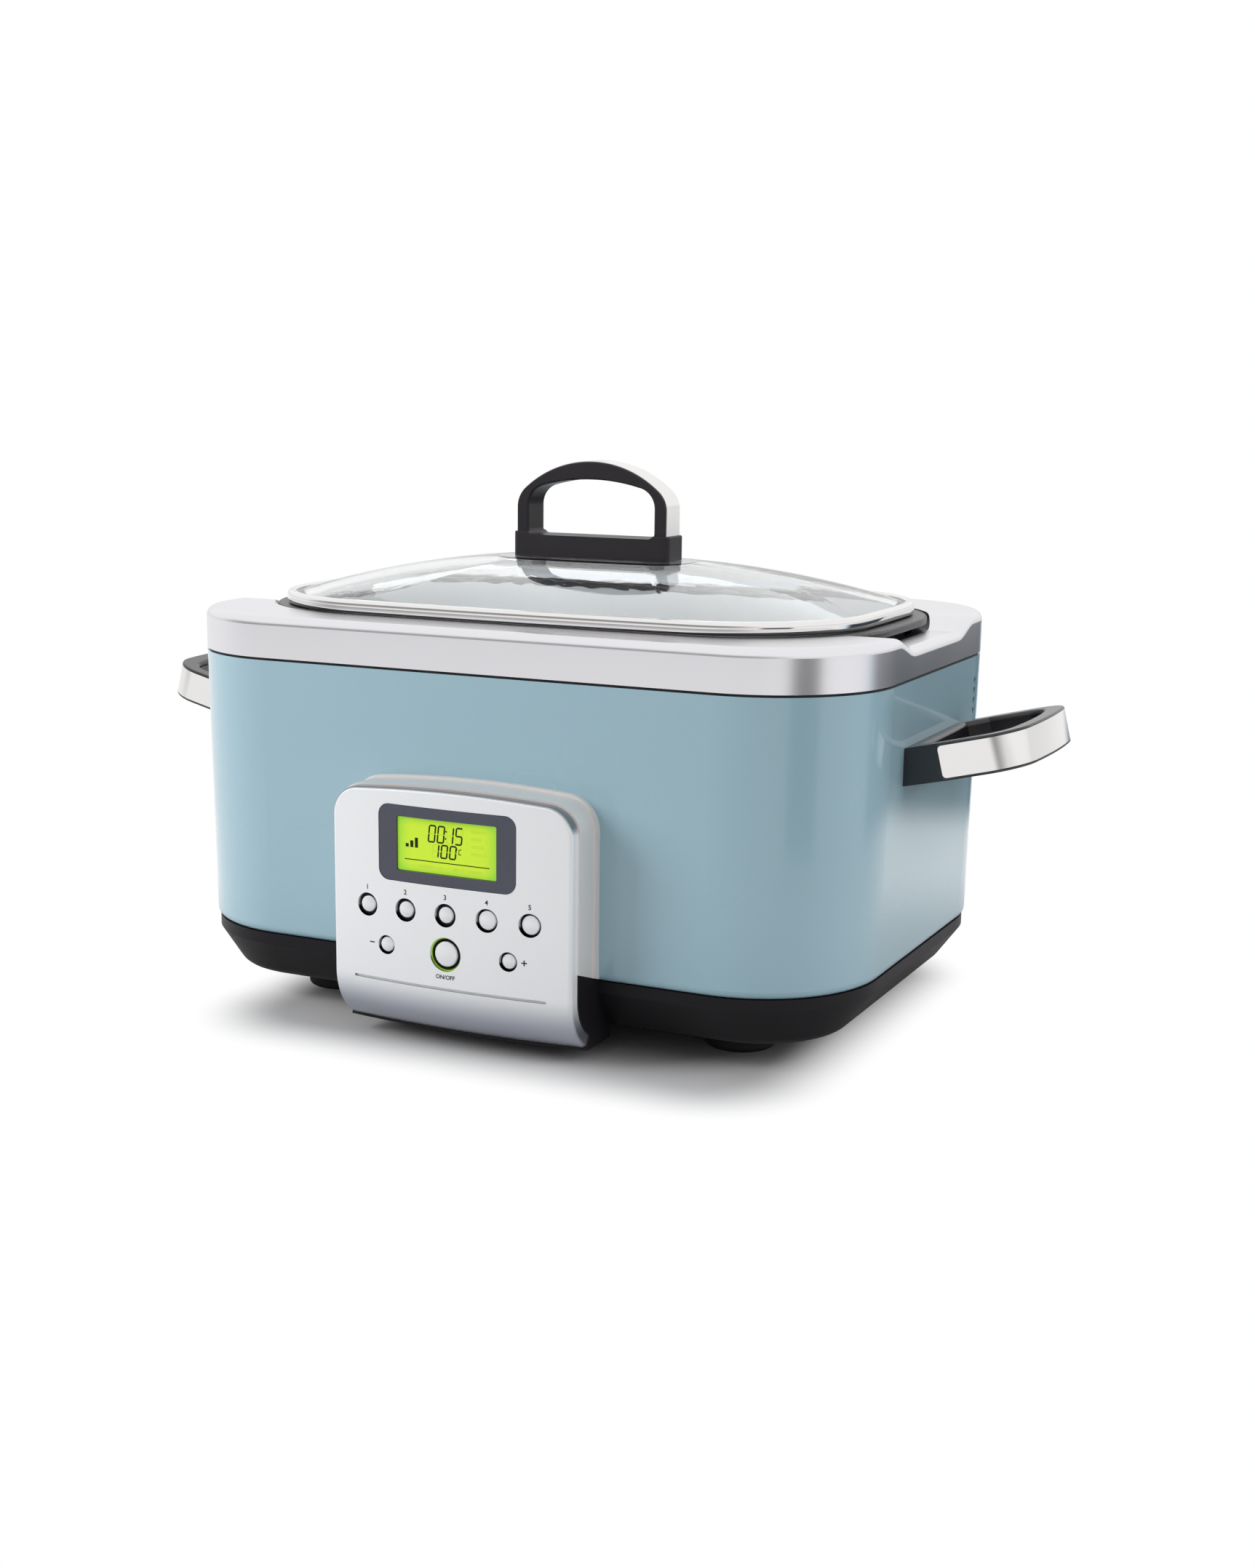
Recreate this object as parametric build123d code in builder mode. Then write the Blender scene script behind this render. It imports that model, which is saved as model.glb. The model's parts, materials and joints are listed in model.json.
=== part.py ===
from build123d import *
import os
from math import cos, radians, sin, sqrt

# Slow cooker: a painted steel housing with a polished rim, a lift-out pot under a glass lid,
# two loop handles and a front control panel. Millimetres, +Z up, standing on Z = 0, front to -Y.

# Painted wrap of the housing, at its top edge and at its foot
SHEET = 1.2
WRAP_W = 380.0
WRAP_D = 268.7
WRAP_R = 65.5
WRAP_FOOT_W = 374.8
WRAP_FOOT_D = 267.2
WRAP_FOOT_R = 65.0
WRAP_BOTTOM = 40.5
WRAP_TOP = 184.4
HEM_R = 4.0
TOP_FLANGE = 9.0
FOOT_FLANGE = 13.0
FOOT_OPENING_R = 117.0
VENT_R = 1.75
VENT_PITCH = 5.4
VENTS = 4
VENT_Y = 70.0
VENT_Z = 163.5

# Black base tray and its feet
TRAY_WALL = 2.5
TRAY_BOTTOM = 14.0
TRAY_FLOOR_W = 341.6
TRAY_FLOOR_D = 235.3
TRAY_FLOOR_R = 43.6
TRAY_EDGE_R = 9.0
LIP_BOTTOM = 34.5
LIP_W = 372.6
LIP_D = 265.0
LIP_R = 64.0
FOOT_X = 118.0
FOOT_Y = 72.6
FOOT_R = 18.0
BASE_SCREW_X = 148.0
BASE_SCREW_Y = 95.0
PILLAR_R = 6.5
FOOT_EDGE_R = 2.5
AIR_SLOT_X = 70.0
AIR_SLOT_L = 60.0
AIR_SLOT_W = 4.0
AIR_SLOT_PITCH = 12.0
AIR_SLOTS = 7

# Polished rim collar on a thin seal, with a finger scoop at each end
SEAL_H = 1.3
SEAL_W = 6.8
RIM_BOTTOM = WRAP_TOP + SEAL_H
RIM_TOP = 206.9
RIM_EDGE_R = 4.6
SCOOP_HALF_TOP = 58.0
SCOOP_HALF_FLOOR = 40.0
SCOOP_FLOOR = 200.4
SCOOP_R = 30.0

# Lift-out pot, with a grip flange that is longer than the lid
POT_WALL = 3.0
POT_FLOOR = 4.0
POT_BOTTOM = 68.0
POT_FOOT_W = 302.0
POT_FOOT_D = 164.0
POT_FOOT_R = 58.0
POT_MOUTH_W = 324.0
POT_MOUTH_D = 186.0
POT_MOUTH_R = 68.0
POT_HEEL_R = 16.0
WELL_HEEL_IN = 2.0
FLANGE_W = 346.0
FLANGE_D = 206.0
FLANGE_R = 78.0
FLANGE_BOW = 4.0
FLANGE_T = 3.5
FLANGE_GAP = 1.2
POT_GAP = 4.0

# Heating well under the pot, its plate and the reflector below
WELL_TOP = 198.4
WELL_FLOOR = 56.0
WELL_FLANGE_W = 354.0
WELL_FLANGE_D = 214.0
PLATE_W = 250.0
PLATE_D = 120.0
PLATE_R = 48.0
PLATE_EDGE_R = 2.0
STANDOFF_IN_X = 45.0
STANDOFF_IN_Y = 40.0
PLATE_T = 7.7
PLATE_TOP = POT_BOTTOM - 0.3
TERMINAL_X = 30.0
TERMINAL_R = 3.0
TERMINAL_L = 12.0
TERMINAL_HOLE_R = 5.0
ELEMENT_IN = 20.0
ELEMENT_W = 8.0
ELEMENT_T = 2.5
STANDOFF_R = 5.0
SHIELD_Z = 47.0
SHIELD_IN = 5.0
SHIELD_SLOT_W = 24.0
SHIELD_SLOT_R = 8.0
SHIELD_POST_IN = 35.0

# Glass lid in a steel band
LIFT_GAP = 0.3
BAND_W = 330.0
BAND_D = 207.6
BAND_R = 74.0
BAND_BOW = 5.2
BAND_BOTTOM = RIM_TOP + LIFT_GAP
BAND_TOP = 213.9
BAND_LIP = 1.5
BAND_EDGE = 5.0
GLASS_T = 4.0
GLASS_HOLE_R = 3.0
GLASS_GAP = 1.8
CROWN_TOP = 232.8
CROWN_W = 112.0
CROWN_D = 46.0
CROWN_R = 18.0
CROWN_MID_Z = 225.3
CROWN_MID_W = 224.0
CROWN_MID_D = 126.0
CROWN_MID_R = 52.0

# Loop handle on the lid: black core under a chrome strap
GRIP_BASE_W = 91.4
GRIP_BASE_D = 20.7
GRIP_STEP = 246.0
GRIP_W = 88.4
GRIP_TOP = 284.2
GRIP_CROWN_R = 60.0
GRIP_SHOULDER_R = 14.0
GRIP_D = 19.0
STRAP_T = 1.9
STRAP_PROUD = 0.5
STRAP_MARGIN = 1.3
STRAP_EDGE_R = 0.4
GRIP_BASE_R = 3.0
GRIP_EDGE_R = 0.8
WINDOW_W = 74.0
WINDOW_BOTTOM = 244.4
WINDOW_TOP = 274.4
WINDOW_SHOULDER = 268.0
WINDOW_R = 11.0
WINDOW_EDGE_R = 1.4
WINDOW_FOOT_R = 3.0
LID_SCREW_X = 35.0

# Side handles: tilted closed loops with a chrome band inlaid round the bar
HANDLE_TILT = 14.0
HANDLE_Z = 142.9
HANDLE_H = 18.6
HANDLE_ROOT_HALF = 46.0
HANDLE_HALF = 51.0
HANDLE_KNEE = 19.0
HANDLE_REACH = 62.5
HANDLE_BOW = 4.5
HANDLE_CORNER_R = 20.0
HANDLE_BAR = 9.5
HANDLE_ROOT_T = 8.5
INLAY_T = 1.2
INLAY_MARGIN = 1.4
INLAY_CORNER_R = 2.0
HANDLE_EDGE_R = 1.0
HANDLE_HOLE_EDGE_R = 2.4
HANDLE_SCREW_Y = 28.0

# Control panel: a bowed face that curls under at the bottom, in a chrome surround
PANEL_PROUD = 29.5
PANEL_BOW_R = 490.0
PANEL_HALF_W = 66.0
PANEL_SHOULDER = 128.6
PANEL_TOP = 132.4
PANEL_CORNER_R = 15.0
PANEL_KNEE = 36.0
CURL_R = 30.0
CURL_ANGLE = 62.0
FACE_T = 2.5
FACE_DEPTH = 6.5
FACE_EDGE_R = 2.0
GROOVE_Z = 35.0
GROOVE_W = 107.0
GROOVE_H = 1.4
GROOVE_DEPTH = 1.1
SURROUND_LIFT = 1.0
SURROUND_T = 2.0
SURROUND_LIP = 3.0
SKIRT_HALF_W = 66.8
SKIRT_FRONT_Z = 52.0
SKIRT_REAR_Z = 42.0
SKIRT_BOTTOM = 8.2
SKIRT_BACK = 17.0
POCKET_HALF_W = 59.5
POCKET_BOTTOM = 43.0
POCKET_TOP = 125.0
POCKET_BACK = 5.0
POCKET_R = 8.0
CABLE_WINDOW_W = 70.0
CABLE_WINDOW_H = 36.0
CABLE_WINDOW_Z = 92.0
CABLE_WINDOW_R = 6.0
PANEL_SCREW_W = 96.0
PANEL_SCREW_H = 56.0
PANEL_SCREW_Z = 88.0
BEZEL_W = 76.0
BEZEL_H = 38.0
BEZEL_Z = 105.0
BEZEL_R = 6.0
BEZEL_LEDGE = 2.5
BEZEL_LEDGE_T = 1.2
BEZEL_SUNK = 0.3
BEZEL_FIT = 0.1
LCD_W = 55.0
LCD_RIM = 3.0
LCD_BACK = 2.6
LCD_SUNK = 1.9
LCD_FIT = 0.2
LCD_R = 1.0
LCD_H = 26.8
LCD_Z = 104.9
BOARD_T = 1.6
BOARD_IN = 1.5
BOARD_CORNER_R = 6.0
BOSS_IN = 7.0
BOSS_R = 3.0
BOARD_FROM_FRONT = 14.4
SWITCH_W = 6.0
SWITCH_H = 3.5
PLUNGER_R = 1.75
PLUNGER_H = 1.5

# Push buttons: name, across, up, hole radius
ROW_Z = 72.0
ROW_PITCH = 22.5
ROW_HOLE_R = 5.85
STEP_X = 33.8
STEP_Z = 53.0
STEP_HOLE_R = 4.8
START_Z = 52.5
START_HOLE_R = 8.5
BUTTON_GAP = 0.6
BUTTON_FLANGE = 1.4
BUTTON_TRAVEL = 1.0
RING_T = 0.9
RING_FIT = 0.2
RING_BACK = 1.3
RING_FLANGE = 1.5
BUTTON_EDGE_R = 0.9
CAP_SUNK = 0.2
COLLAR_GAP = 1.2
START_COLLAR_GAP = 1.8
STEM_R = 2.5
STEM_GAP = 0.4

# Power electronics on the tray's floor
BOARD_X = -60.0
BOARD_W = 100.0
BOARD_D = 70.0
BOARD_Z = 24.0
POST_W = 86.0
POST_D = 56.0

# Board components: name, across, back, width, depth, height
COMPONENTS = {
    "relay": (-88, -14, 19, 15.5, 15.7),
    "transformer": (-42, 12, 30, 26, 18),
    "filter_capacitor": (-88, 16, 26, 9, 15),
}
COMPONENT_EDGE_R = 1.0
POST_R = 3.5
BLOCK_Y = 84.0
BLOCK_W = 32.0
BLOCK_D = 16.0
BLOCK_H = 14.0
CLAMP_PITCH = 10.0
CLAMP_R = 2.4
CLAMP_DEPTH = 8.0
SENSOR_X = 75.0
SENSOR_Y = 25.0
SENSOR_R = 7.0
SENSOR_H = 6.0
SENSOR_FLANGE_R = 9.0
SENSOR_FLANGE_T = 1.5
FUSE_L = 26.0
FUSE_W = 7.0
FUSE_H = 5.0

# Margin for picking edges by their place
NEAR = 0.1

# Screws: shank, bore it bites into, clearance hole and head
SCREW_R = 1.9
SCREW_BORE_R = 2.0
SCREW_HOLE_R = 2.2
SCREW_HEAD_R = 4.0
SCREW_HEAD_H = 2.0
SCREW_BITE = 6.0
HANDLE_SCREW_L = 8.0
SMALL_SCREW_R = 1.5
SMALL_SCREW_BORE_R = 1.6
SMALL_SCREW_HOLE_R = 1.8
SMALL_SCREW_HEAD_R = 3.0
SMALL_SCREW_L = 7.0
COUNTERBORE_R = 4.4
COUNTERBORE_H = 5.0
WASHER_R = 6.5
WASHER_T = 1.5

# Cord gland in the back wall
GLAND_PROUD = 6.5
GLAND_X = 105.0
GLAND_Z = 62.0
GLAND_R = 9.0
GLAND_NECK_R = 6.5
GLAND_BORE_R = 3.6
GLAND_NUT_T = 8.0
GLAND_INSIDE = 6.0
GLAND_EDGE_R = 1.5

# The origin is under the middle of the overall box, so the housing's centre is a little behind it
BODY_Y = (PANEL_PROUD - GLAND_PROUD) / 2
FRONT = BODY_Y - WRAP_D / 2
BACK = BODY_Y + WRAP_D / 2
PANEL_FRONT = FRONT - PANEL_PROUD
PANEL_AXIS = Axis((0, PANEL_FRONT + PANEL_BOW_R, 0), (0, 0, 1))
POT_RIM_Z = RIM_TOP - FLANGE_T

os.makedirs("parts", exist_ok=True)


def level(z):
    """Horizontal sketch plane at height z, centred on the housing."""
    return Plane((0, BODY_Y, z))


def upright(y):
    """Vertical sketch plane at y that faces the front."""
    return Plane.XZ.offset(-y)


def sideways(x):
    """Vertical sketch plane at x that faces the right, with y counted from the housing's centre."""
    return Plane((x, BODY_Y, 0), x_dir=(0, 1, 0), z_dir=(1, 0, 0))


def save(piece, name):
    """Label a finished piece and write it to a file of its own."""
    piece.part.label = name
    export_step(piece.part, f"parts/{name}.step")


class BowedRectangle(BaseSketchObject):
    """Rounded rectangle whose four sides swell outwards by bow, to width and depth overall."""

    def __init__(self, width, depth, radius, bow, mode=Mode.ADD):
        x, y = width / 2, depth / 2
        with BuildSketch(Plane.XY, mode=Mode.PRIVATE) as outline:
            with BuildLine():
                ThreePointArc((bow - x, bow - y), (0, -y), (x - bow, bow - y))
                ThreePointArc((x - bow, bow - y), (x, 0), (x - bow, y - bow))
                ThreePointArc((x - bow, y - bow), (0, y), (bow - x, y - bow))
                ThreePointArc((bow - x, y - bow), (-x, 0), (bow - x, bow - y))
            make_face()
            fillet(outline.vertices(), radius)
        super().__init__(obj=outline.sketch, rotation=0, align=None, mode=mode)


class CrownedPanel(BaseSketchObject):
    """Upright outline with straight sides, rounded shoulders and a gently crowned top."""

    def __init__(self, half_width, bottom, shoulder, top, radius, mode=Mode.ADD):
        left, right = (-half_width, shoulder), (half_width, shoulder)
        with BuildSketch(Plane.XY, mode=Mode.PRIVATE) as outline:
            with BuildLine():
                Polyline(right, (half_width, bottom), (-half_width, bottom), left)
                ThreePointArc(left, (0, top), right)
            make_face()
            fillet(outline.vertices().group_by(Axis.Y)[-1], radius)
        super().__init__(obj=outline.sketch, rotation=0, align=None, mode=mode)


def wrap_form(inset):
    """Solid form of the wrap: its outside at no inset, its inside at one sheet's inset."""
    with BuildPart() as form:
        with BuildSketch(level(WRAP_BOTTOM + inset)):
            RectangleRounded(WRAP_FOOT_W - 2 * inset, WRAP_FOOT_D - 2 * inset, WRAP_FOOT_R - inset)
        with BuildSketch(level(WRAP_TOP - inset)):
            RectangleRounded(WRAP_W - 2 * inset, WRAP_D - 2 * inset, WRAP_R - inset)
        loft()
        fillet(form.edges().group_by(Axis.Z)[0], HEM_R - inset)
    return form.part


def tray_form(inset):
    """Solid form of the tray: an upright lip over a bowl that draws in to the floor."""
    with BuildPart() as form:
        with BuildSketch(level(TRAY_BOTTOM + inset)):
            RectangleRounded(TRAY_FLOOR_W - 2 * inset, TRAY_FLOOR_D - 2 * inset, TRAY_FLOOR_R - inset)
        with BuildSketch(level(LIP_BOTTOM)):
            RectangleRounded(LIP_W - 2 * inset, LIP_D - 2 * inset, LIP_R - inset)
        loft()
        fillet(form.edges().group_by(Axis.Z)[0], TRAY_EDGE_R - inset)
        with BuildSketch(level(LIP_BOTTOM)):
            RectangleRounded(LIP_W - 2 * inset, LIP_D - 2 * inset, LIP_R - inset)
        extrude(amount=WRAP_BOTTOM - LIP_BOTTOM)
    return form.part


def collar_form(inset):
    """Solid form of the rim collar, with a scoop across each end and a rolled top edge."""
    floor, top = SCOOP_FLOOR - inset, RIM_TOP - inset
    far = WRAP_D
    with BuildPart() as form:
        with BuildSketch(level(RIM_BOTTOM + inset)):
            RectangleRounded(WRAP_W - 2 * inset, WRAP_D - 2 * inset, WRAP_R - inset)
        extrude(amount=RIM_TOP - RIM_BOTTOM - 2 * inset)
        with BuildSketch(sideways(0)) as scoop:
            with BuildLine():
                Polyline(
                    (-far, top), (-SCOOP_HALF_TOP, top), (-SCOOP_HALF_FLOOR, floor),
                    (SCOOP_HALF_FLOOR, floor), (SCOOP_HALF_TOP, top), (far, top),
                    (far, RIM_TOP + far), (-far, RIM_TOP + far), close=True,
                )
            make_face()
            bends = scoop.vertices().filter_by_position(Axis.Y, floor - 1, top + 1)
            fillet(bends.sort_by(Axis.X)[1:-1], SCOOP_R)
        extrude(amount=WRAP_W, both=True, mode=Mode.SUBTRACT)
        top_edges = form.edges().filter_by_position(Axis.Z, floor - 1, top + 1)
        across = top_edges.filter_by(Axis.X).filter_by_position(Axis.Y, BODY_Y - far / 3, BODY_Y + far / 3)
        fillet(top_edges - across, RIM_EDGE_R - inset)
    return form.part


def pot_form(inset, floor):
    """Solid form of the pot's bowl: its outside at no inset, its cavity at one wall's inset."""
    with BuildPart() as form:
        with BuildSketch(level(POT_BOTTOM + floor)):
            RectangleRounded(POT_FOOT_W - 2 * inset, POT_FOOT_D - 2 * inset, POT_FOOT_R - inset)
        with BuildSketch(level(RIM_TOP)):
            RectangleRounded(POT_MOUTH_W - 2 * inset, POT_MOUTH_D - 2 * inset, POT_MOUTH_R - inset)
        loft()
        fillet(form.edges().group_by(Axis.Z)[0], POT_HEEL_R - inset)
    return form.part


def well_form(inset):
    """Solid form of the heating well, a little wider than the pot all round."""
    gap = POT_GAP - inset
    with BuildPart() as form:
        with BuildSketch(level(WELL_FLOOR - SHEET + inset)):
            RectangleRounded(POT_FOOT_W + 2 * gap, POT_FOOT_D + 2 * gap, POT_FOOT_R + gap)
        with BuildSketch(level(WELL_TOP)):
            RectangleRounded(POT_MOUTH_W + 2 * gap, POT_MOUTH_D + 2 * gap, POT_MOUTH_R + gap)
        loft()
        fillet(form.edges().group_by(Axis.Z)[0], POT_HEEL_R - WELL_HEEL_IN - inset)
    return form.part


def crown_form(inset, drop):
    """Solid form of the lid's dome, from the flat brim up to a level seat for the handle."""
    with BuildPart() as form:
        with BuildSketch(level(BAND_TOP - BAND_LIP - drop)):
            edge = BAND_EDGE + inset
            BowedRectangle(BAND_W - 2 * edge, BAND_D - 2 * edge, BAND_R - edge, BAND_BOW)
        with BuildSketch(level(CROWN_MID_Z - drop)):
            BowedRectangle(CROWN_MID_W - inset, CROWN_MID_D - inset, CROWN_MID_R, BAND_BOW)
        with BuildSketch(level(CROWN_TOP - drop)):
            BowedRectangle(CROWN_W, CROWN_D, CROWN_R, BAND_BOW / 2)
        loft()
    return form.part


def bowed_slab(front, back):
    """Ring that holds the panel's bowed face between two depths, curling under below the knee."""
    y, turn = PANEL_FRONT, (PANEL_FRONT + CURL_R, PANEL_KNEE)
    with BuildPart() as slab:
        with BuildSketch(Plane.YZ):
            with BuildLine():
                outer = Line((y + front, PANEL_TOP + CURL_R), (y + front, PANEL_KNEE))
                outer_curl = CenterArc(turn, CURL_R - front, 180, CURL_ANGLE)
                inner_curl = CenterArc(turn, CURL_R - back, 180, CURL_ANGLE)
                inner = Line((y + back, PANEL_TOP + CURL_R), (y + back, PANEL_KNEE))
                Line(outer @ 0, inner @ 0)
                Line(outer_curl @ 1, inner_curl @ 1)
            make_face()
        revolve(axis=PANEL_AXIS)
    return slab.part


def face_y(x):
    """Where the panel's bowed front stands at x."""
    return PANEL_FRONT + PANEL_BOW_R - sqrt(PANEL_BOW_R**2 - x**2)


def skirt_form(half_width):
    """Solid form of the panel's foot, below a line that falls from the face to the housing's wall."""
    with BuildPart() as form:
        with BuildSketch(Plane.YZ):
            with BuildLine():
                Polyline(
                    (PANEL_FRONT, SKIRT_FRONT_Z), (FRONT, SKIRT_REAR_Z), (FRONT + SKIRT_BACK, SKIRT_REAR_Z),
                    (FRONT + SKIRT_BACK, 0), (PANEL_FRONT, 0), close=True,
                )
            make_face()
        extrude(amount=half_width, both=True)
    return form.part


wrap_outside = wrap_form(0)
wrap_inside = wrap_form(SHEET)
tray_outside = tray_form(0)

# Housing wrap: flanged at the top and the foot, pierced for vents, handles, panel and gland
with BuildPart() as outer_shell:
    add(wrap_outside)
    add(wrap_inside, mode=Mode.SUBTRACT)
    with BuildSketch(level(WRAP_TOP)):
        RectangleRounded(WRAP_W - 2 * TOP_FLANGE, WRAP_D - 2 * TOP_FLANGE, WRAP_R - TOP_FLANGE)
    extrude(amount=-2 * SHEET, mode=Mode.SUBTRACT)
    with BuildSketch(level(WRAP_BOTTOM)):
        RectangleRounded(WRAP_FOOT_W - 2 * FOOT_FLANGE, WRAP_FOOT_D - 2 * FOOT_FLANGE, FOOT_OPENING_R)
        with GridLocations(2 * BASE_SCREW_X, 2 * BASE_SCREW_Y, 2, 2):
            Circle(SCREW_HOLE_R)
    extrude(amount=2 * SHEET, mode=Mode.SUBTRACT)
    with BuildSketch(sideways(0)):
        with Locations((VENT_Y, VENT_Z)):
            with GridLocations(1, VENT_PITCH, 1, VENTS):
                Circle(VENT_R)
        with Locations((0, HANDLE_Z)):
            with GridLocations(2 * HANDLE_SCREW_Y, 1, 2, 1):
                Circle(SCREW_HOLE_R)
    extrude(amount=WRAP_W, both=True, mode=Mode.SUBTRACT)
    with BuildSketch(upright(FRONT)):
        with Locations((0, CABLE_WINDOW_Z)):
            RectangleRounded(CABLE_WINDOW_W, CABLE_WINDOW_H, CABLE_WINDOW_R)
        with Locations((0, PANEL_SCREW_Z)):
            with GridLocations(PANEL_SCREW_W, PANEL_SCREW_H, 2, 2):
                Circle(SMALL_SCREW_HOLE_R)
    extrude(amount=4 * SHEET, both=True, mode=Mode.SUBTRACT)
    with BuildSketch(upright(BACK)):
        with Locations((GLAND_X, GLAND_Z)):
            Circle(GLAND_NECK_R)
    extrude(amount=4 * SHEET, both=True, mode=Mode.SUBTRACT)
save(outer_shell, "outer_shell")

# Base tray: ribs, screw pillars and board posts stand on its floor, slots let air in
with BuildPart() as base_tray:
    add(tray_outside)
    add(tray_form(TRAY_WALL), mode=Mode.SUBTRACT)
    with BuildSketch(level(TRAY_BOTTOM)):
        with GridLocations(2 * BASE_SCREW_X, 2 * BASE_SCREW_Y, 2, 2):
            Circle(PILLAR_R)
    extrude(amount=WRAP_BOTTOM - TRAY_BOTTOM)
    with BuildSketch(level(TRAY_BOTTOM)):
        with GridLocations(2 * BASE_SCREW_X, 2 * BASE_SCREW_Y, 2, 2):
            Circle(SCREW_HOLE_R)
    extrude(amount=WRAP_BOTTOM - TRAY_BOTTOM, mode=Mode.SUBTRACT)
    with BuildSketch(level(TRAY_BOTTOM)):
        with GridLocations(2 * BASE_SCREW_X, 2 * BASE_SCREW_Y, 2, 2):
            Circle(COUNTERBORE_R)
    extrude(amount=COUNTERBORE_H, mode=Mode.SUBTRACT)
    with BuildSketch(level(TRAY_BOTTOM)):
        with Locations((BOARD_X, 0)):
            with GridLocations(POST_W, POST_D, 2, 2):
                Circle(POST_R)
    extrude(amount=BOARD_Z - TRAY_BOTTOM)
    with BuildSketch(level(TRAY_BOTTOM)):
        with Locations((AIR_SLOT_X, 0)):
            with GridLocations(AIR_SLOT_PITCH, 1, AIR_SLOTS, 1):
                SlotOverall(AIR_SLOT_L, AIR_SLOT_W, rotation=90)
    extrude(amount=TRAY_WALL, mode=Mode.SUBTRACT)
save(base_tray, "base_tray")

# Rubber feet, drawn in a little towards the floor
with BuildPart() as rubber_feet:
    with BuildSketch(level(0)):
        with GridLocations(2 * FOOT_X, 2 * FOOT_Y, 2, 2):
            Circle(FOOT_R)
    extrude(amount=TRAY_BOTTOM)
    fillet(rubber_feet.edges().group_by(Axis.Z)[0], FOOT_EDGE_R)
save(rubber_feet, "rubber_feet")

# Screws that tie the tray to the wrap's foot
with BuildPart() as base_screws:
    with BuildSketch(level(TRAY_BOTTOM + COUNTERBORE_H)):
        with GridLocations(2 * BASE_SCREW_X, 2 * BASE_SCREW_Y, 2, 2):
            Circle(SCREW_HEAD_R)
    extrude(amount=-SCREW_HEAD_H)
    with BuildSketch(level(TRAY_BOTTOM + COUNTERBORE_H)):
        with GridLocations(2 * BASE_SCREW_X, 2 * BASE_SCREW_Y, 2, 2):
            Circle(SCREW_R)
    extrude(amount=WRAP_BOTTOM - TRAY_BOTTOM)
save(base_screws, "base_screws")

# Thin black seal between the wrap and the rim
with BuildPart() as rim_seal:
    with BuildSketch(level(WRAP_TOP)):
        RectangleRounded(WRAP_W - 2 * SHEET, WRAP_D - 2 * SHEET, WRAP_R - SHEET)
        edge = SHEET + SEAL_W
        RectangleRounded(WRAP_W - 2 * edge, WRAP_D - 2 * edge, WRAP_R - edge, mode=Mode.SUBTRACT)
    extrude(amount=SEAL_H)
save(rim_seal, "rim_seal")

# Rim collar: pressed from sheet, with a hem below and a skirt round the pot's mouth
with BuildPart() as collar_hollow:
    add(collar_form(SHEET))
    with BuildSketch(level(RIM_BOTTOM)):
        skirt = 2 * (FLANGE_GAP + SHEET)
        BowedRectangle(FLANGE_W + skirt, FLANGE_D + skirt, FLANGE_R, FLANGE_BOW)
    extrude(amount=RIM_TOP, mode=Mode.SUBTRACT)

with BuildPart() as rim_collar:
    add(collar_form(0))
    add(collar_hollow.part, mode=Mode.SUBTRACT)
    with BuildSketch(level(RIM_BOTTOM)):
        BowedRectangle(FLANGE_W + 2 * FLANGE_GAP, FLANGE_D + 2 * FLANGE_GAP, FLANGE_R, FLANGE_BOW)
    extrude(amount=RIM_TOP, mode=Mode.SUBTRACT)
    with BuildSketch(level(RIM_BOTTOM)):
        RectangleRounded(WRAP_W - 2 * TOP_FLANGE, WRAP_D - 2 * TOP_FLANGE, WRAP_R - TOP_FLANGE)
    extrude(amount=WELL_TOP - RIM_BOTTOM, mode=Mode.SUBTRACT)
save(rim_collar, "rim_collar")

# Heating well: a sheet tub that hangs from the collar's skirt
with BuildPart() as heating_well:
    add(well_form(0))
    with BuildSketch(level(WELL_TOP)):
        BowedRectangle(WELL_FLANGE_W, WELL_FLANGE_D, FLANGE_R, FLANGE_BOW)
    extrude(amount=-SHEET)
    add(well_form(SHEET), mode=Mode.SUBTRACT)
    with BuildSketch(level(WELL_FLOOR)):
        with GridLocations(2 * TERMINAL_X, 1, 2, 1):
            Circle(TERMINAL_HOLE_R)
    extrude(amount=-2 * SHEET, mode=Mode.SUBTRACT)
save(heating_well, "heating_well")

# Cast heating plate with its element moulded into the underside
with BuildPart() as heating_plate:
    with BuildSketch(level(PLATE_TOP - PLATE_T)):
        RectangleRounded(PLATE_W, PLATE_D, PLATE_R)
    extrude(amount=PLATE_T)
    fillet(heating_plate.edges().group_by(Axis.Z)[-1], PLATE_EDGE_R)
    with BuildSketch(level(PLATE_TOP - PLATE_T)):
        outer, inner = ELEMENT_IN, ELEMENT_IN + ELEMENT_W
        RectangleRounded(PLATE_W - 2 * outer, PLATE_D - 2 * outer, PLATE_R - outer)
        RectangleRounded(PLATE_W - 2 * inner, PLATE_D - 2 * inner, PLATE_R - inner, mode=Mode.SUBTRACT)
    extrude(amount=-ELEMENT_T)
    with BuildSketch(level(PLATE_TOP - PLATE_T)):
        with GridLocations(2 * TERMINAL_X, 1, 2, 1):
            Circle(TERMINAL_R)
    extrude(amount=-TERMINAL_L)
    with BuildSketch(level(PLATE_TOP - PLATE_T)):
        with GridLocations(PLATE_W - 2 * STANDOFF_IN_X, PLATE_D - 2 * STANDOFF_IN_Y, 2, 2):
            Circle(STANDOFF_R)
    extrude(amount=WELL_FLOOR - PLATE_TOP + PLATE_T)
save(heating_plate, "heating_plate")

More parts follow.
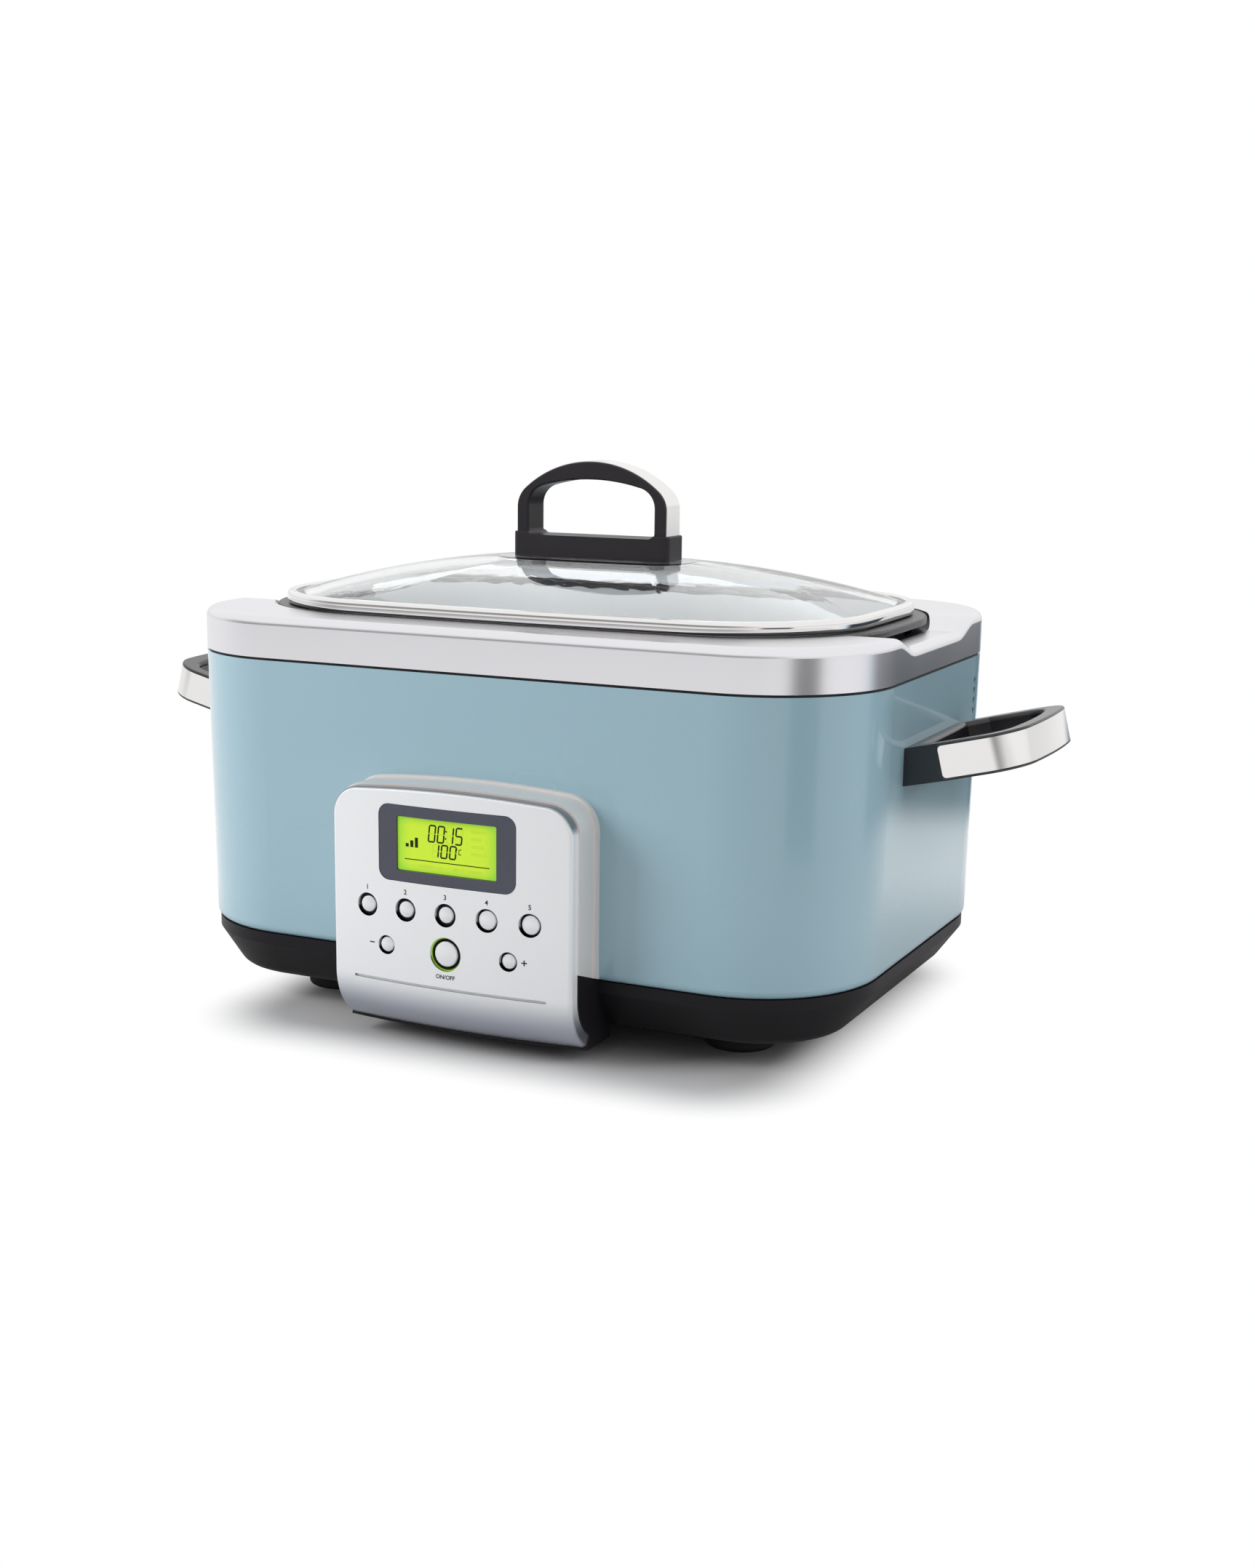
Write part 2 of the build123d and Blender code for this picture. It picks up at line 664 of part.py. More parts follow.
# Reflector tray under the well, open for the element's terminals
with BuildPart() as heat_shield:
    with BuildSketch(level(SHIELD_Z)):
        RectangleRounded(POT_FOOT_W - 2 * SHIELD_IN, POT_FOOT_D - 2 * SHIELD_IN, POT_FOOT_R - SHIELD_IN)
        slot_l = 2 * TERMINAL_X + SHIELD_SLOT_W
        RectangleRounded(slot_l, SHIELD_SLOT_W, SHIELD_SLOT_R, mode=Mode.SUBTRACT)
    extrude(amount=SHEET)
    with BuildSketch(level(SHIELD_Z)):
        with GridLocations(POT_FOOT_W - 2 * SHIELD_POST_IN, POT_FOOT_D - 2 * SHIELD_POST_IN, 2, 2):
            Circle(STANDOFF_R)
    extrude(amount=WELL_FLOOR - SHEET - SHIELD_Z)
save(heat_shield, "heat_shield")

# Lift-out pot
with BuildPart() as inner_pot:
    add(pot_form(0, 0))
    with BuildSketch(level(POT_RIM_Z)):
        BowedRectangle(FLANGE_W, FLANGE_D, FLANGE_R, FLANGE_BOW)
    extrude(amount=FLANGE_T)
    flange_edges = inner_pot.edges().filter_by_position(Axis.Z, POT_RIM_Z - NEAR, RIM_TOP + NEAR)
    fillet(flange_edges.group_by(Axis.Z)[-1], FLANGE_T / 3)
    add(pot_form(POT_WALL, POT_FLOOR), mode=Mode.SUBTRACT)
save(inner_pot, "inner_pot")

# Lid glass: a flat brim held by the band, rising to a dome
with BuildPart() as lid_glass:
    with BuildSketch(level(BAND_BOTTOM + BAND_LIP)):
        BowedRectangle(BAND_W - 2 * GLASS_GAP, BAND_D - 2 * GLASS_GAP, BAND_R - GLASS_GAP, BAND_BOW)
    extrude(amount=BAND_TOP - BAND_BOTTOM - 2 * BAND_LIP)
    add(crown_form(0, 0))
    add(crown_form(GLASS_T, GLASS_T), mode=Mode.SUBTRACT)
    with BuildSketch(level(BAND_BOTTOM)):
        edge = 2 * (BAND_EDGE + GLASS_T)
        BowedRectangle(BAND_W - edge, BAND_D - edge, BAND_R - edge / 2, BAND_BOW)
    extrude(amount=BAND_TOP - BAND_BOTTOM - BAND_LIP - GLASS_T, mode=Mode.SUBTRACT)
    with BuildSketch(level(CROWN_TOP)):
        with GridLocations(2 * LID_SCREW_X, 1, 2, 1):
            Circle(GLASS_HOLE_R)
    extrude(amount=-2 * GLASS_T, mode=Mode.SUBTRACT)
save(lid_glass, "lid_glass")

# Steel band rolled round the glass
with BuildPart() as lid_band:
    with BuildSketch(level(BAND_BOTTOM)):
        BowedRectangle(BAND_W, BAND_D, BAND_R, BAND_BOW)
    extrude(amount=BAND_TOP - BAND_BOTTOM)
    fillet(lid_band.edges().group_by(Axis.Z)[-1] + lid_band.edges().group_by(Axis.Z)[0], BAND_LIP)
    with BuildSketch(level(BAND_BOTTOM)):
        BowedRectangle(BAND_W - 2 * BAND_EDGE, BAND_D - 2 * BAND_EDGE, BAND_R - BAND_EDGE, BAND_BOW)
    extrude(amount=BAND_TOP, mode=Mode.SUBTRACT)
    with BuildSketch(level(BAND_BOTTOM + BAND_LIP)):
        BowedRectangle(BAND_W - 2 * GLASS_GAP, BAND_D - 2 * GLASS_GAP, BAND_R - GLASS_GAP, BAND_BOW)
    extrude(amount=BAND_TOP - BAND_BOTTOM - 2 * BAND_LIP, mode=Mode.SUBTRACT)
save(lid_band, "lid_band")


class GripArch(BaseSketchObject):
    """Front view of the lid's loop: straight legs under a crowned, round-shouldered top."""

    def __init__(self, inset, mode=Mode.ADD):
        half, top = GRIP_W / 2 - inset, GRIP_TOP - inset
        crown = GRIP_CROWN_R - inset
        shoulder = top - crown + sqrt(crown**2 - half**2)
        with BuildSketch(Plane.XY, mode=Mode.PRIVATE) as outline:
            with BuildLine():
                Polyline((half, shoulder), (half, GRIP_STEP), (-half, GRIP_STEP), (-half, shoulder))
                ThreePointArc((-half, shoulder), (0, top), (half, shoulder))
            make_face()
            fillet(outline.vertices().group_by(Axis.Y)[-1], GRIP_SHOULDER_R - inset)
        super().__init__(obj=outline.sketch, rotation=0, align=None, mode=mode)


# Chrome strap inlaid in the arch, a little proud, standing on the base block's step
with BuildPart() as lid_handle_strap:
    with BuildSketch(upright(BODY_Y)):
        GripArch(0)
    extrude(amount=GRIP_D / 2 - STRAP_MARGIN, both=True)
    sides = lid_handle_strap.faces().filter_by(Axis.Y)
    fillet(sides.edges().filter_by_position(Axis.Z, GRIP_STEP + NEAR, GRIP_TOP), STRAP_EDGE_R)
    with BuildSketch(upright(BODY_Y)):
        GripArch(STRAP_T)
    extrude(amount=GRIP_D, both=True, mode=Mode.SUBTRACT)
save(lid_handle_strap, "lid_handle_strap")

# Black core of the lid's handle: an arch round the window, on a base block
with BuildPart() as grip_arch:
    with BuildSketch(upright(BODY_Y)):
        GripArch(STRAP_PROUD)
    extrude(amount=GRIP_D / 2, both=True)
    sides = grip_arch.faces().filter_by(Axis.Y)
    fillet(sides.edges().filter_by_position(Axis.Z, GRIP_STEP + NEAR, GRIP_TOP), GRIP_EDGE_R)
    with BuildSketch(upright(BODY_Y)) as window:
        CrownedPanel(WINDOW_W / 2, WINDOW_BOTTOM, WINDOW_SHOULDER, WINDOW_TOP, WINDOW_R)
        fillet(window.vertices().group_by(Axis.Y)[0], WINDOW_FOOT_R)
    extrude(amount=GRIP_D, both=True, mode=Mode.SUBTRACT)
    sides = grip_arch.faces().filter_by(Axis.Y).edges()
    inner_edges = sides.filter_by_position(Axis.X, -WINDOW_W / 2 - NEAR, WINDOW_W / 2 + NEAR)
    fillet(inner_edges.filter_by_position(Axis.Z, GRIP_STEP + NEAR, WINDOW_TOP + NEAR), WINDOW_EDGE_R)

with BuildPart() as lid_handle:
    with BuildSketch(level(CROWN_TOP)):
        RectangleRounded(GRIP_BASE_W, GRIP_BASE_D, GRIP_BASE_R)
    extrude(amount=GRIP_STEP - CROWN_TOP)
    fillet(lid_handle.edges().group_by(Axis.Z)[-1], GRIP_EDGE_R)
    extrude(window.sketch, amount=GRIP_BASE_D, both=True, mode=Mode.SUBTRACT)
    with BuildSketch(level(CROWN_TOP)):
        with GridLocations(2 * LID_SCREW_X, 1, 2, 1):
            Circle(SCREW_BORE_R)
    extrude(amount=SCREW_BITE + WASHER_T, mode=Mode.SUBTRACT)
    add(grip_arch.part)
    add(lid_handle_strap.part, mode=Mode.SUBTRACT)
save(lid_handle, "lid_handle")

# Washers and screws that hold the handle from under the glass
glass_under = CROWN_TOP - GLASS_T
with BuildPart() as lid_washers:
    with BuildSketch(level(glass_under)):
        with GridLocations(2 * LID_SCREW_X, 1, 2, 1):
            Circle(WASHER_R)
            Circle(SCREW_HOLE_R, mode=Mode.SUBTRACT)
    extrude(amount=-WASHER_T)
save(lid_washers, "lid_washers")

with BuildPart() as lid_screws:
    with BuildSketch(level(glass_under - WASHER_T)):
        with GridLocations(2 * LID_SCREW_X, 1, 2, 1):
            Circle(SCREW_HEAD_R)
    extrude(amount=-SCREW_HEAD_H)
    fillet(lid_screws.edges().group_by(Axis.Z)[0], SCREW_HEAD_H / 2)
    with BuildSketch(level(glass_under - WASHER_T)):
        with GridLocations(2 * LID_SCREW_X, 1, 2, 1):
            Circle(SCREW_R)
    extrude(amount=WASHER_T + GLASS_T + SCREW_BITE)
save(lid_screws, "lid_screws")


class HandleLoop(BaseSketchObject):
    """Plan of a side handle: legs that flare from the wall to a bowed bar with rounded corners."""

    def __init__(self, inset, start, mode=Mode.ADD):
        half, root = HANDLE_HALF - inset, HANDLE_ROOT_HALF - inset
        reach = HANDLE_REACH - inset
        corner = reach - HANDLE_BOW
        with BuildSketch(Plane.XY, mode=Mode.PRIVATE) as outline:
            with BuildLine():
                Polyline((corner, -half), (HANDLE_KNEE, -half), (start, -root), (start, root))
                Polyline((start, root), (HANDLE_KNEE, half), (corner, half))
                ThreePointArc((corner, half), (reach, 0), (corner, -half))
            make_face()
            fillet(outline.vertices().group_by(Axis.X)[-1], HANDLE_CORNER_R - inset)
        super().__init__(obj=outline.sketch, rotation=0, align=None, mode=mode)


# Side handles with their inlaid bands and screws, one set at each end
for side, way in (("left", -1), ("right", 1)):
    slope = (way * cos(radians(HANDLE_TILT)), 0, sin(radians(HANDLE_TILT)))
    rise = (-way * sin(radians(HANDLE_TILT)), 0, cos(radians(HANDLE_TILT)))
    loop_plane = Plane((way * WRAP_W / 2, BODY_Y, HANDLE_Z), x_dir=slope, z_dir=rise)

    with BuildPart() as handle_band:
        with BuildSketch(loop_plane):
            HandleLoop(0, 0)
            HandleLoop(INLAY_T, 0, mode=Mode.SUBTRACT)
            with Locations((HANDLE_KNEE - HANDLE_REACH / 2, 0)):
                Rectangle(HANDLE_REACH, 4 * HANDLE_HALF, mode=Mode.SUBTRACT)
        extrude(amount=HANDLE_H / 2 - INLAY_MARGIN, both=True)
        fillet(handle_band.edges().filter_by(Axis.Y), INLAY_CORNER_R)
    save(handle_band, f"handle_band_{side}")

    with BuildPart() as side_handle:
        with BuildSketch(loop_plane):
            HandleLoop(0, -HANDLE_ROOT_T)
        extrude(amount=HANDLE_H / 2, both=True)
        fillet(side_handle.faces().filter_by(loop_plane).edges(), HANDLE_EDGE_R)
        with BuildSketch(loop_plane):
            HandleLoop(HANDLE_BAR, HANDLE_ROOT_T)
        extrude(amount=HANDLE_H, both=True, mode=Mode.SUBTRACT)
        hole_edges = side_handle.edges(Select.LAST).filter_by(Axis((0, 0, 0), rise), reverse=True)
        fillet(hole_edges, HANDLE_HOLE_EDGE_R)
        add(wrap_outside, mode=Mode.SUBTRACT)
        add(handle_band.part, mode=Mode.SUBTRACT)
        with BuildSketch(sideways(way * (WRAP_W / 2 - HEM_R))):
            with Locations((0, HANDLE_Z)):
                with GridLocations(2 * HANDLE_SCREW_Y, 1, 2, 1):
                    Circle(SCREW_BORE_R)
        extrude(amount=way * (HEM_R + SCREW_BITE), mode=Mode.SUBTRACT)
    save(side_handle, f"side_handle_{side}")

# Screws from inside the wrap into the handles' roots
with BuildPart() as handle_screws:
    for way in (-1, 1):
        seat = way * (WRAP_W / 2 - 2 * SHEET)
        with BuildSketch(sideways(seat)):
            with Locations((0, HANDLE_Z)):
                with GridLocations(2 * HANDLE_SCREW_Y, 1, 2, 1):
                    Circle(SCREW_HEAD_R)
        extrude(amount=-SCREW_HEAD_H * way)
        with BuildSketch(sideways(seat)):
            with Locations((0, HANDLE_Z)):
                with GridLocations(2 * HANDLE_SCREW_Y, 1, 2, 1):
                    Circle(SCREW_R)
        extrude(amount=HANDLE_SCREW_L * way)
save(handle_screws, "handle_screws")

# Black carcass of the panel: a pocket for the boards above, a skirt that meets the tray below
with BuildPart() as carcass_bow:
    behind = PANEL_FRONT + FACE_DEPTH
    turn = (PANEL_FRONT + CURL_R, PANEL_KNEE)
    with BuildSketch(Plane.YZ):
        with BuildLine():
            front = Line((behind, PANEL_TOP), (behind, PANEL_KNEE))
            curl = CenterArc(turn, CURL_R - FACE_DEPTH, 180, CURL_ANGLE)
            Polyline(
                curl @ 1, (turn[0] - CURL_R * cos(radians(CURL_ANGLE)), SKIRT_BOTTOM),
                (FRONT + SKIRT_BACK, SKIRT_BOTTOM), (FRONT + SKIRT_BACK, PANEL_TOP), front @ 0,
            )
        make_face()
    revolve(axis=PANEL_AXIS)

core_half = PANEL_HALF_W + SURROUND_LIFT - SURROUND_T
core_lift = SURROUND_LIFT - SURROUND_T
with BuildPart() as panel_housing:
    with BuildSketch(upright(FRONT + SKIRT_BACK)):
        CrownedPanel(
            core_half, SKIRT_BOTTOM, PANEL_SHOULDER + core_lift, PANEL_TOP + core_lift,
            PANEL_CORNER_R + core_lift,
        )
    extrude(amount=SKIRT_BACK + PANEL_PROUD)
    add(skirt_form(SKIRT_HALF_W))
    add(carcass_bow.part, mode=Mode.INTERSECT)
    add(wrap_outside, mode=Mode.SUBTRACT)
    add(tray_outside, mode=Mode.SUBTRACT)
    with BuildSketch(upright(FRONT - POCKET_BACK)):
        with Locations((0, (POCKET_BOTTOM + POCKET_TOP) / 2)):
            RectangleRounded(2 * POCKET_HALF_W, POCKET_TOP - POCKET_BOTTOM, POCKET_R)
    extrude(amount=PANEL_PROUD, mode=Mode.SUBTRACT)
    with BuildSketch(upright(FRONT + POCKET_BACK)):
        with Locations((0, PANEL_SCREW_Z)):
            with GridLocations(PANEL_SCREW_W, PANEL_SCREW_H, 2, 2):
                Circle(SMALL_SCREW_BORE_R)
    extrude(amount=POCKET_BACK + SMALL_SCREW_L / 2, mode=Mode.SUBTRACT)
    with BuildSketch(upright(FRONT + POCKET_BACK)):
        with Locations((0, CABLE_WINDOW_Z)):
            RectangleRounded(CABLE_WINDOW_W, CABLE_WINDOW_H, CABLE_WINDOW_R)
    extrude(amount=3 * POCKET_BACK, mode=Mode.SUBTRACT)
save(panel_housing, "panel_housing")

# Chrome surround: an arch from the housing's wall to the face, with a lip along the wall
with BuildPart() as panel_surround:
    with BuildSketch(upright(FRONT + SKIRT_BACK)):
        CrownedPanel(
            PANEL_HALF_W + SURROUND_LIFT, SKIRT_BOTTOM, PANEL_SHOULDER + SURROUND_LIFT,
            PANEL_TOP + SURROUND_LIFT, PANEL_CORNER_R + SURROUND_LIFT,
        )
    extrude(amount=SKIRT_BACK + PANEL_PROUD)
    with BuildSketch(upright(FRONT + SKIRT_BACK)):
        CrownedPanel(
            PANEL_HALF_W + 2 * SURROUND_LIFT, SKIRT_BOTTOM, PANEL_SHOULDER + 2 * SURROUND_LIFT,
            PANEL_TOP + 2 * SURROUND_LIFT, PANEL_CORNER_R + 2 * SURROUND_LIFT,
        )
    extrude(amount=SKIRT_BACK + SURROUND_LIP)
    with BuildSketch(upright(FRONT + SKIRT_BACK)):
        CrownedPanel(
            core_half, 0, PANEL_SHOULDER + core_lift, PANEL_TOP + core_lift, PANEL_CORNER_R + core_lift,
        )
    extrude(amount=SKIRT_BACK + PANEL_PROUD, mode=Mode.SUBTRACT)
    with Locations(Location(PANEL_AXIS.position)):
        Cylinder(PANEL_BOW_R - FACE_DEPTH, 4 * PANEL_TOP, mode=Mode.INTERSECT)
    add(wrap_outside, mode=Mode.SUBTRACT)
    add(skirt_form(2 * PANEL_HALF_W), mode=Mode.SUBTRACT)
save(panel_surround, "panel_surround")

# Push buttons: where each stands on the face and how wide its hole is
buttons = {f"button_{n + 1}": ((n - 2) * ROW_PITCH, ROW_Z, ROW_HOLE_R) for n in range(5)}
buttons["button_minus"] = (-STEP_X, STEP_Z, STEP_HOLE_R)
buttons["button_plus"] = (STEP_X, STEP_Z, STEP_HOLE_R)
buttons["button_start"] = (0, START_Z, START_HOLE_R)

# Face: a bowed moulding with a turned-back edge, pierced for the display and the buttons
with BuildPart() as face_pocket:
    add(bowed_slab(FACE_T, FACE_DEPTH + 1))
    with BuildSketch(upright(FRONT)):
        CrownedPanel(
            PANEL_HALF_W - FACE_T, 0, PANEL_SHOULDER - FACE_T, PANEL_TOP - FACE_T, PANEL_CORNER_R - FACE_T,
        )
    extrude(amount=2 * PANEL_PROUD, mode=Mode.INTERSECT)

with BuildPart() as groove:
    add(bowed_slab(-1, GROOVE_DEPTH))
    with BuildSketch(upright(FRONT)):
        with Locations((0, GROOVE_Z)):
            SlotOverall(GROOVE_W, GROOVE_H)
    extrude(amount=2 * PANEL_PROUD, mode=Mode.INTERSECT)

with BuildPart() as panel_face:
    add(bowed_slab(0, FACE_DEPTH))
    with BuildSketch(upright(FRONT)):
        CrownedPanel(PANEL_HALF_W, 0, PANEL_SHOULDER, PANEL_TOP, PANEL_CORNER_R)
    extrude(amount=2 * PANEL_PROUD, mode=Mode.INTERSECT)
    fillet(panel_face.faces().sort_by(Axis.Y)[0].edges().sort_by(Axis.Z)[1:], FACE_EDGE_R)
    add(face_pocket.part, mode=Mode.SUBTRACT)
    add(groove.part, mode=Mode.SUBTRACT)
    with BuildSketch(upright(FRONT)):
        with Locations((0, BEZEL_Z)):
            RectangleRounded(BEZEL_W, BEZEL_H, BEZEL_R)
        for x, z, radius in buttons.values():
            with Locations((x, z)):
                Circle(radius)
    extrude(amount=2 * PANEL_PROUD, mode=Mode.SUBTRACT)
save(panel_face, "panel_face")

# Dark frame round the display, with a flange behind the face
with BuildPart() as display_flange:
    add(bowed_slab(FACE_T, FACE_T + BEZEL_LEDGE_T))
    with BuildSketch(upright(FRONT)):
        with Locations((0, BEZEL_Z)):
            RectangleRounded(BEZEL_W + 2 * BEZEL_LEDGE, BEZEL_H + 2 * BEZEL_LEDGE, BEZEL_R)
    extrude(amount=2 * PANEL_PROUD, mode=Mode.INTERSECT)

with BuildPart() as display_bezel:
    add(bowed_slab(BEZEL_SUNK, FACE_T))
    with BuildSketch(upright(FRONT)):
        with Locations((0, BEZEL_Z)):
            RectangleRounded(BEZEL_W - 2 * BEZEL_FIT, BEZEL_H - 2 * BEZEL_FIT, BEZEL_R)
    extrude(amount=2 * PANEL_PROUD, mode=Mode.INTERSECT)
    add(display_flange.part)
    with BuildSketch(upright(FRONT)):
        with Locations((0, LCD_Z)):
            RectangleRounded(LCD_W, LCD_H, 1)
    extrude(amount=2 * PANEL_PROUD, mode=Mode.SUBTRACT)
save(display_bezel, "display_bezel")

# Display module: its glass reaches into the bezel, its frame stands on the control board
board_front = PANEL_FRONT + BOARD_FROM_FRONT
with BuildPart() as lcd_module:
    with BuildSketch(upright(board_front)):
        with Locations((0, LCD_Z)):
            Rectangle(LCD_W + 2 * LCD_RIM, LCD_H + 2 * LCD_RIM)
    extrude(amount=BOARD_FROM_FRONT - FACE_T - LCD_BACK)
    with BuildSketch(upright(board_front)):
        with Locations((0, LCD_Z)):
            RectangleRounded(LCD_W - 2 * LCD_FIT, LCD_H - 2 * LCD_FIT, LCD_R)
    extrude(amount=BOARD_FROM_FRONT - LCD_SUNK)
save(lcd_module, "lcd_module")

# Control board on four posts in the carcass, with a switch behind each button
with BuildPart() as control_board:
    with BuildSketch(upright(board_front + BOARD_T)):
        with Locations((0, (POCKET_BOTTOM + POCKET_TOP) / 2)):
            board_h = POCKET_TOP - POCKET_BOTTOM - 2 * BOARD_IN
            RectangleRounded(2 * POCKET_HALF_W - 2 * BOARD_IN, board_h, BOARD_CORNER_R)
    extrude(amount=BOARD_T)
    with BuildSketch(upright(board_front + BOARD_T)):
        with Locations((0, (POCKET_BOTTOM + POCKET_TOP) / 2)):
            boss_h = POCKET_TOP - POCKET_BOTTOM - 2 * BOSS_IN
            with GridLocations(2 * POCKET_HALF_W - 2 * BOSS_IN, boss_h, 2, 2):
                Circle(BOSS_R)
    extrude(amount=board_front + BOARD_T - FRONT + POCKET_BACK)
save(control_board, "control_board")

with BuildPart() as tact_switches:
    with BuildSketch(upright(board_front)):
        for x, z, _ in buttons.values():
            with Locations((x, z)):
                Rectangle(SWITCH_W, SWITCH_W)
    extrude(amount=SWITCH_H)
    with BuildSketch(upright(board_front)):
        for x, z, _ in buttons.values():
            with Locations((x, z)):
                Circle(PLUNGER_R)
    extrude(amount=SWITCH_H + PLUNGER_H)
save(tact_switches, "tact_switches")

# Light guide round the start button, flanged behind the face
ring_inner = START_HOLE_R - RING_FIT - RING_T
with BuildPart() as light_ring:
    with BuildSketch(upright(PANEL_FRONT + FACE_T + RING_BACK)):
        with Locations((0, START_Z)):
            Circle(START_HOLE_R - RING_FIT)
            Circle(ring_inner, mode=Mode.SUBTRACT)
    extrude(amount=FACE_T)
    with BuildSketch(upright(PANEL_FRONT + FACE_T + RING_BACK)):
        with Locations((0, START_Z)):
            Circle(START_HOLE_R + RING_FLANGE)
            Circle(ring_inner, mode=Mode.SUBTRACT)
    extrude(amount=1)
save(light_ring, "light_ring")

# Button caps: a crowned front, a collar behind the face and a stem over the switch
stem_end = board_front - SWITCH_H - PLUNGER_H - BUTTON_TRAVEL - STEM_GAP
for name, (x, z, radius) in buttons.items():
    is_start = name == "button_start"
    cap_radius = (ring_inner if is_start else radius) - BUTTON_GAP
    cap_front = face_y(x) + CAP_SUNK
    collar_front = face_y(x) + FACE_T + (START_COLLAR_GAP if is_start else COLLAR_GAP)
    with BuildPart() as button:
        with BuildSketch(upright(collar_front)):
            with Locations((x, z)):
                Circle(cap_radius)
        extrude(amount=collar_front - cap_front)
        fillet(button.edges().sort_by(Axis.Y)[0], BUTTON_EDGE_R)
        with BuildSketch(upright(collar_front + 1)):
            with Locations((x, z)):
                Circle(cap_radius + BUTTON_GAP + BUTTON_FLANGE)
        extrude(amount=1)
        with BuildSketch(upright(stem_end)):
            with Locations((x, z)):
                Circle(STEM_R)
        extrude(amount=stem_end - collar_front)
    save(button, name)

# Screws from inside the wrap into the carcass
with BuildPart() as panel_screws:
    with BuildSketch(upright(FRONT + 4 * SHEET)):
        with Locations((0, PANEL_SCREW_Z)):
            with GridLocations(PANEL_SCREW_W, PANEL_SCREW_H, 2, 2):
                Circle(SMALL_SCREW_HEAD_R)
    extrude(amount=SCREW_HEAD_H)
    with BuildSketch(upright(FRONT + 4 * SHEET)):
        with Locations((0, PANEL_SCREW_Z)):
            with GridLocations(PANEL_SCREW_W, PANEL_SCREW_H, 2, 2):
                Circle(SMALL_SCREW_R)
    extrude(amount=SMALL_SCREW_L)
save(panel_screws, "panel_screws")

# Power board on its posts, with the tall components that stand on it
with BuildPart() as power_board:
    with BuildSketch(level(BOARD_Z)):
        with Locations((BOARD_X, 0)):
            RectangleRounded(BOARD_W, BOARD_D, BOSS_R)
    extrude(amount=BOARD_T)
save(power_board, "power_board")

for name, (x, y, width, depth, height) in COMPONENTS.items():
    with BuildPart() as component:
        with BuildSketch(level(BOARD_Z + BOARD_T)):
            with Locations((x, y)):
                RectangleRounded(width, depth, COMPONENT_EDGE_R)
        extrude(amount=height)
    save(component, name)

# Mains terminal block by the gland
with BuildPart() as terminal_block:
    with BuildSketch(level(TRAY_BOTTOM + TRAY_WALL)):
        with Locations((GLAND_X, BLOCK_Y)):
            Rectangle(BLOCK_W, BLOCK_D)
    extrude(amount=BLOCK_H)
    with BuildSketch(level(TRAY_BOTTOM + TRAY_WALL + BLOCK_H)):
        with Locations((GLAND_X, BLOCK_Y)):
            with GridLocations(CLAMP_PITCH, 1, 3, 1):
                Circle(CLAMP_R)
    extrude(amount=-CLAMP_DEPTH, mode=Mode.SUBTRACT)
save(terminal_block, "terminal_block")

# Thermostat disc and thermal fuse clamped under the well's floor
with BuildPart() as temperature_sensor:
    with BuildSketch(level(WELL_FLOOR - SHEET)):
        with Locations((SENSOR_X, SENSOR_Y)):
            Circle(SENSOR_FLANGE_R)
    extrude(amount=-SENSOR_FLANGE_T)
    with BuildSketch(level(WELL_FLOOR - SHEET)):
        with Locations((SENSOR_X, SENSOR_Y)):
            Circle(SENSOR_R)
    extrude(amount=-SENSOR_H)
save(temperature_sensor, "temperature_sensor")

with BuildPart() as thermal_fuse:
    with BuildSketch(level(WELL_FLOOR - SHEET)):
        with Locations((-SENSOR_X, SENSOR_Y)):
            SlotOverall(FUSE_L, FUSE_W)
    extrude(amount=-FUSE_H)
save(thermal_fuse, "thermal_fuse")

# Cord gland: a boot outside the back wall, a neck through it and a nut inside
with BuildPart() as cord_gland:
    with BuildSketch(upright(BACK - GLAND_INSIDE)):
        with Locations((GLAND_X, GLAND_Z)):
            Circle(GLAND_R)
    extrude(amount=-GLAND_NUT_T)
    with BuildSketch(upright(BACK)):
        with Locations((GLAND_X, GLAND_Z)):
            Circle(GLAND_NECK_R)
    extrude(amount=-GLAND_PROUD)
    fillet(cord_gland.edges().sort_by(Axis.Y)[-1], GLAND_EDGE_R)
    add(outer_shell.part, mode=Mode.SUBTRACT)
    with BuildSketch(upright(BACK)):
        with Locations((GLAND_X, GLAND_Z)):
            Circle(GLAND_BORE_R)
    extrude(amount=2 * GLAND_PROUD, both=True, mode=Mode.SUBTRACT)
save(cord_gland, "cord_gland")
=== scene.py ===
"""Studio view of a slow cooker: finishes for every piece of the frame, a rolled band for the lid,
crowned caps for the buttons, the display's figures, the printed marks, and a plain white stage."""

import json
import math

import bpy
import numpy as np
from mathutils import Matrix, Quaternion, Vector


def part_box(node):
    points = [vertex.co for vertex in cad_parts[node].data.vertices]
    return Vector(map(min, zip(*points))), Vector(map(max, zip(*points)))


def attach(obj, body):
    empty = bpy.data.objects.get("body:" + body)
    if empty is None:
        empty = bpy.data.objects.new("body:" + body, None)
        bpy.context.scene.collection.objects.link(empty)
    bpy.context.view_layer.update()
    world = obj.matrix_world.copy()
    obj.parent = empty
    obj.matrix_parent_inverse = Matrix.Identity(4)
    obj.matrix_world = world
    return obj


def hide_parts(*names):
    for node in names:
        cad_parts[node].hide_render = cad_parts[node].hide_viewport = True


bl_info = {
    "name": "Slow Cooker Studio",
    "version": (1, 0, 0),
    "blender": (4, 5, 0),
    "location": "3D View > Sidebar > Slow Cooker",
    "description": "Dresses the slow cooker's frame and sets up its studio",
    "category": "Object",
}

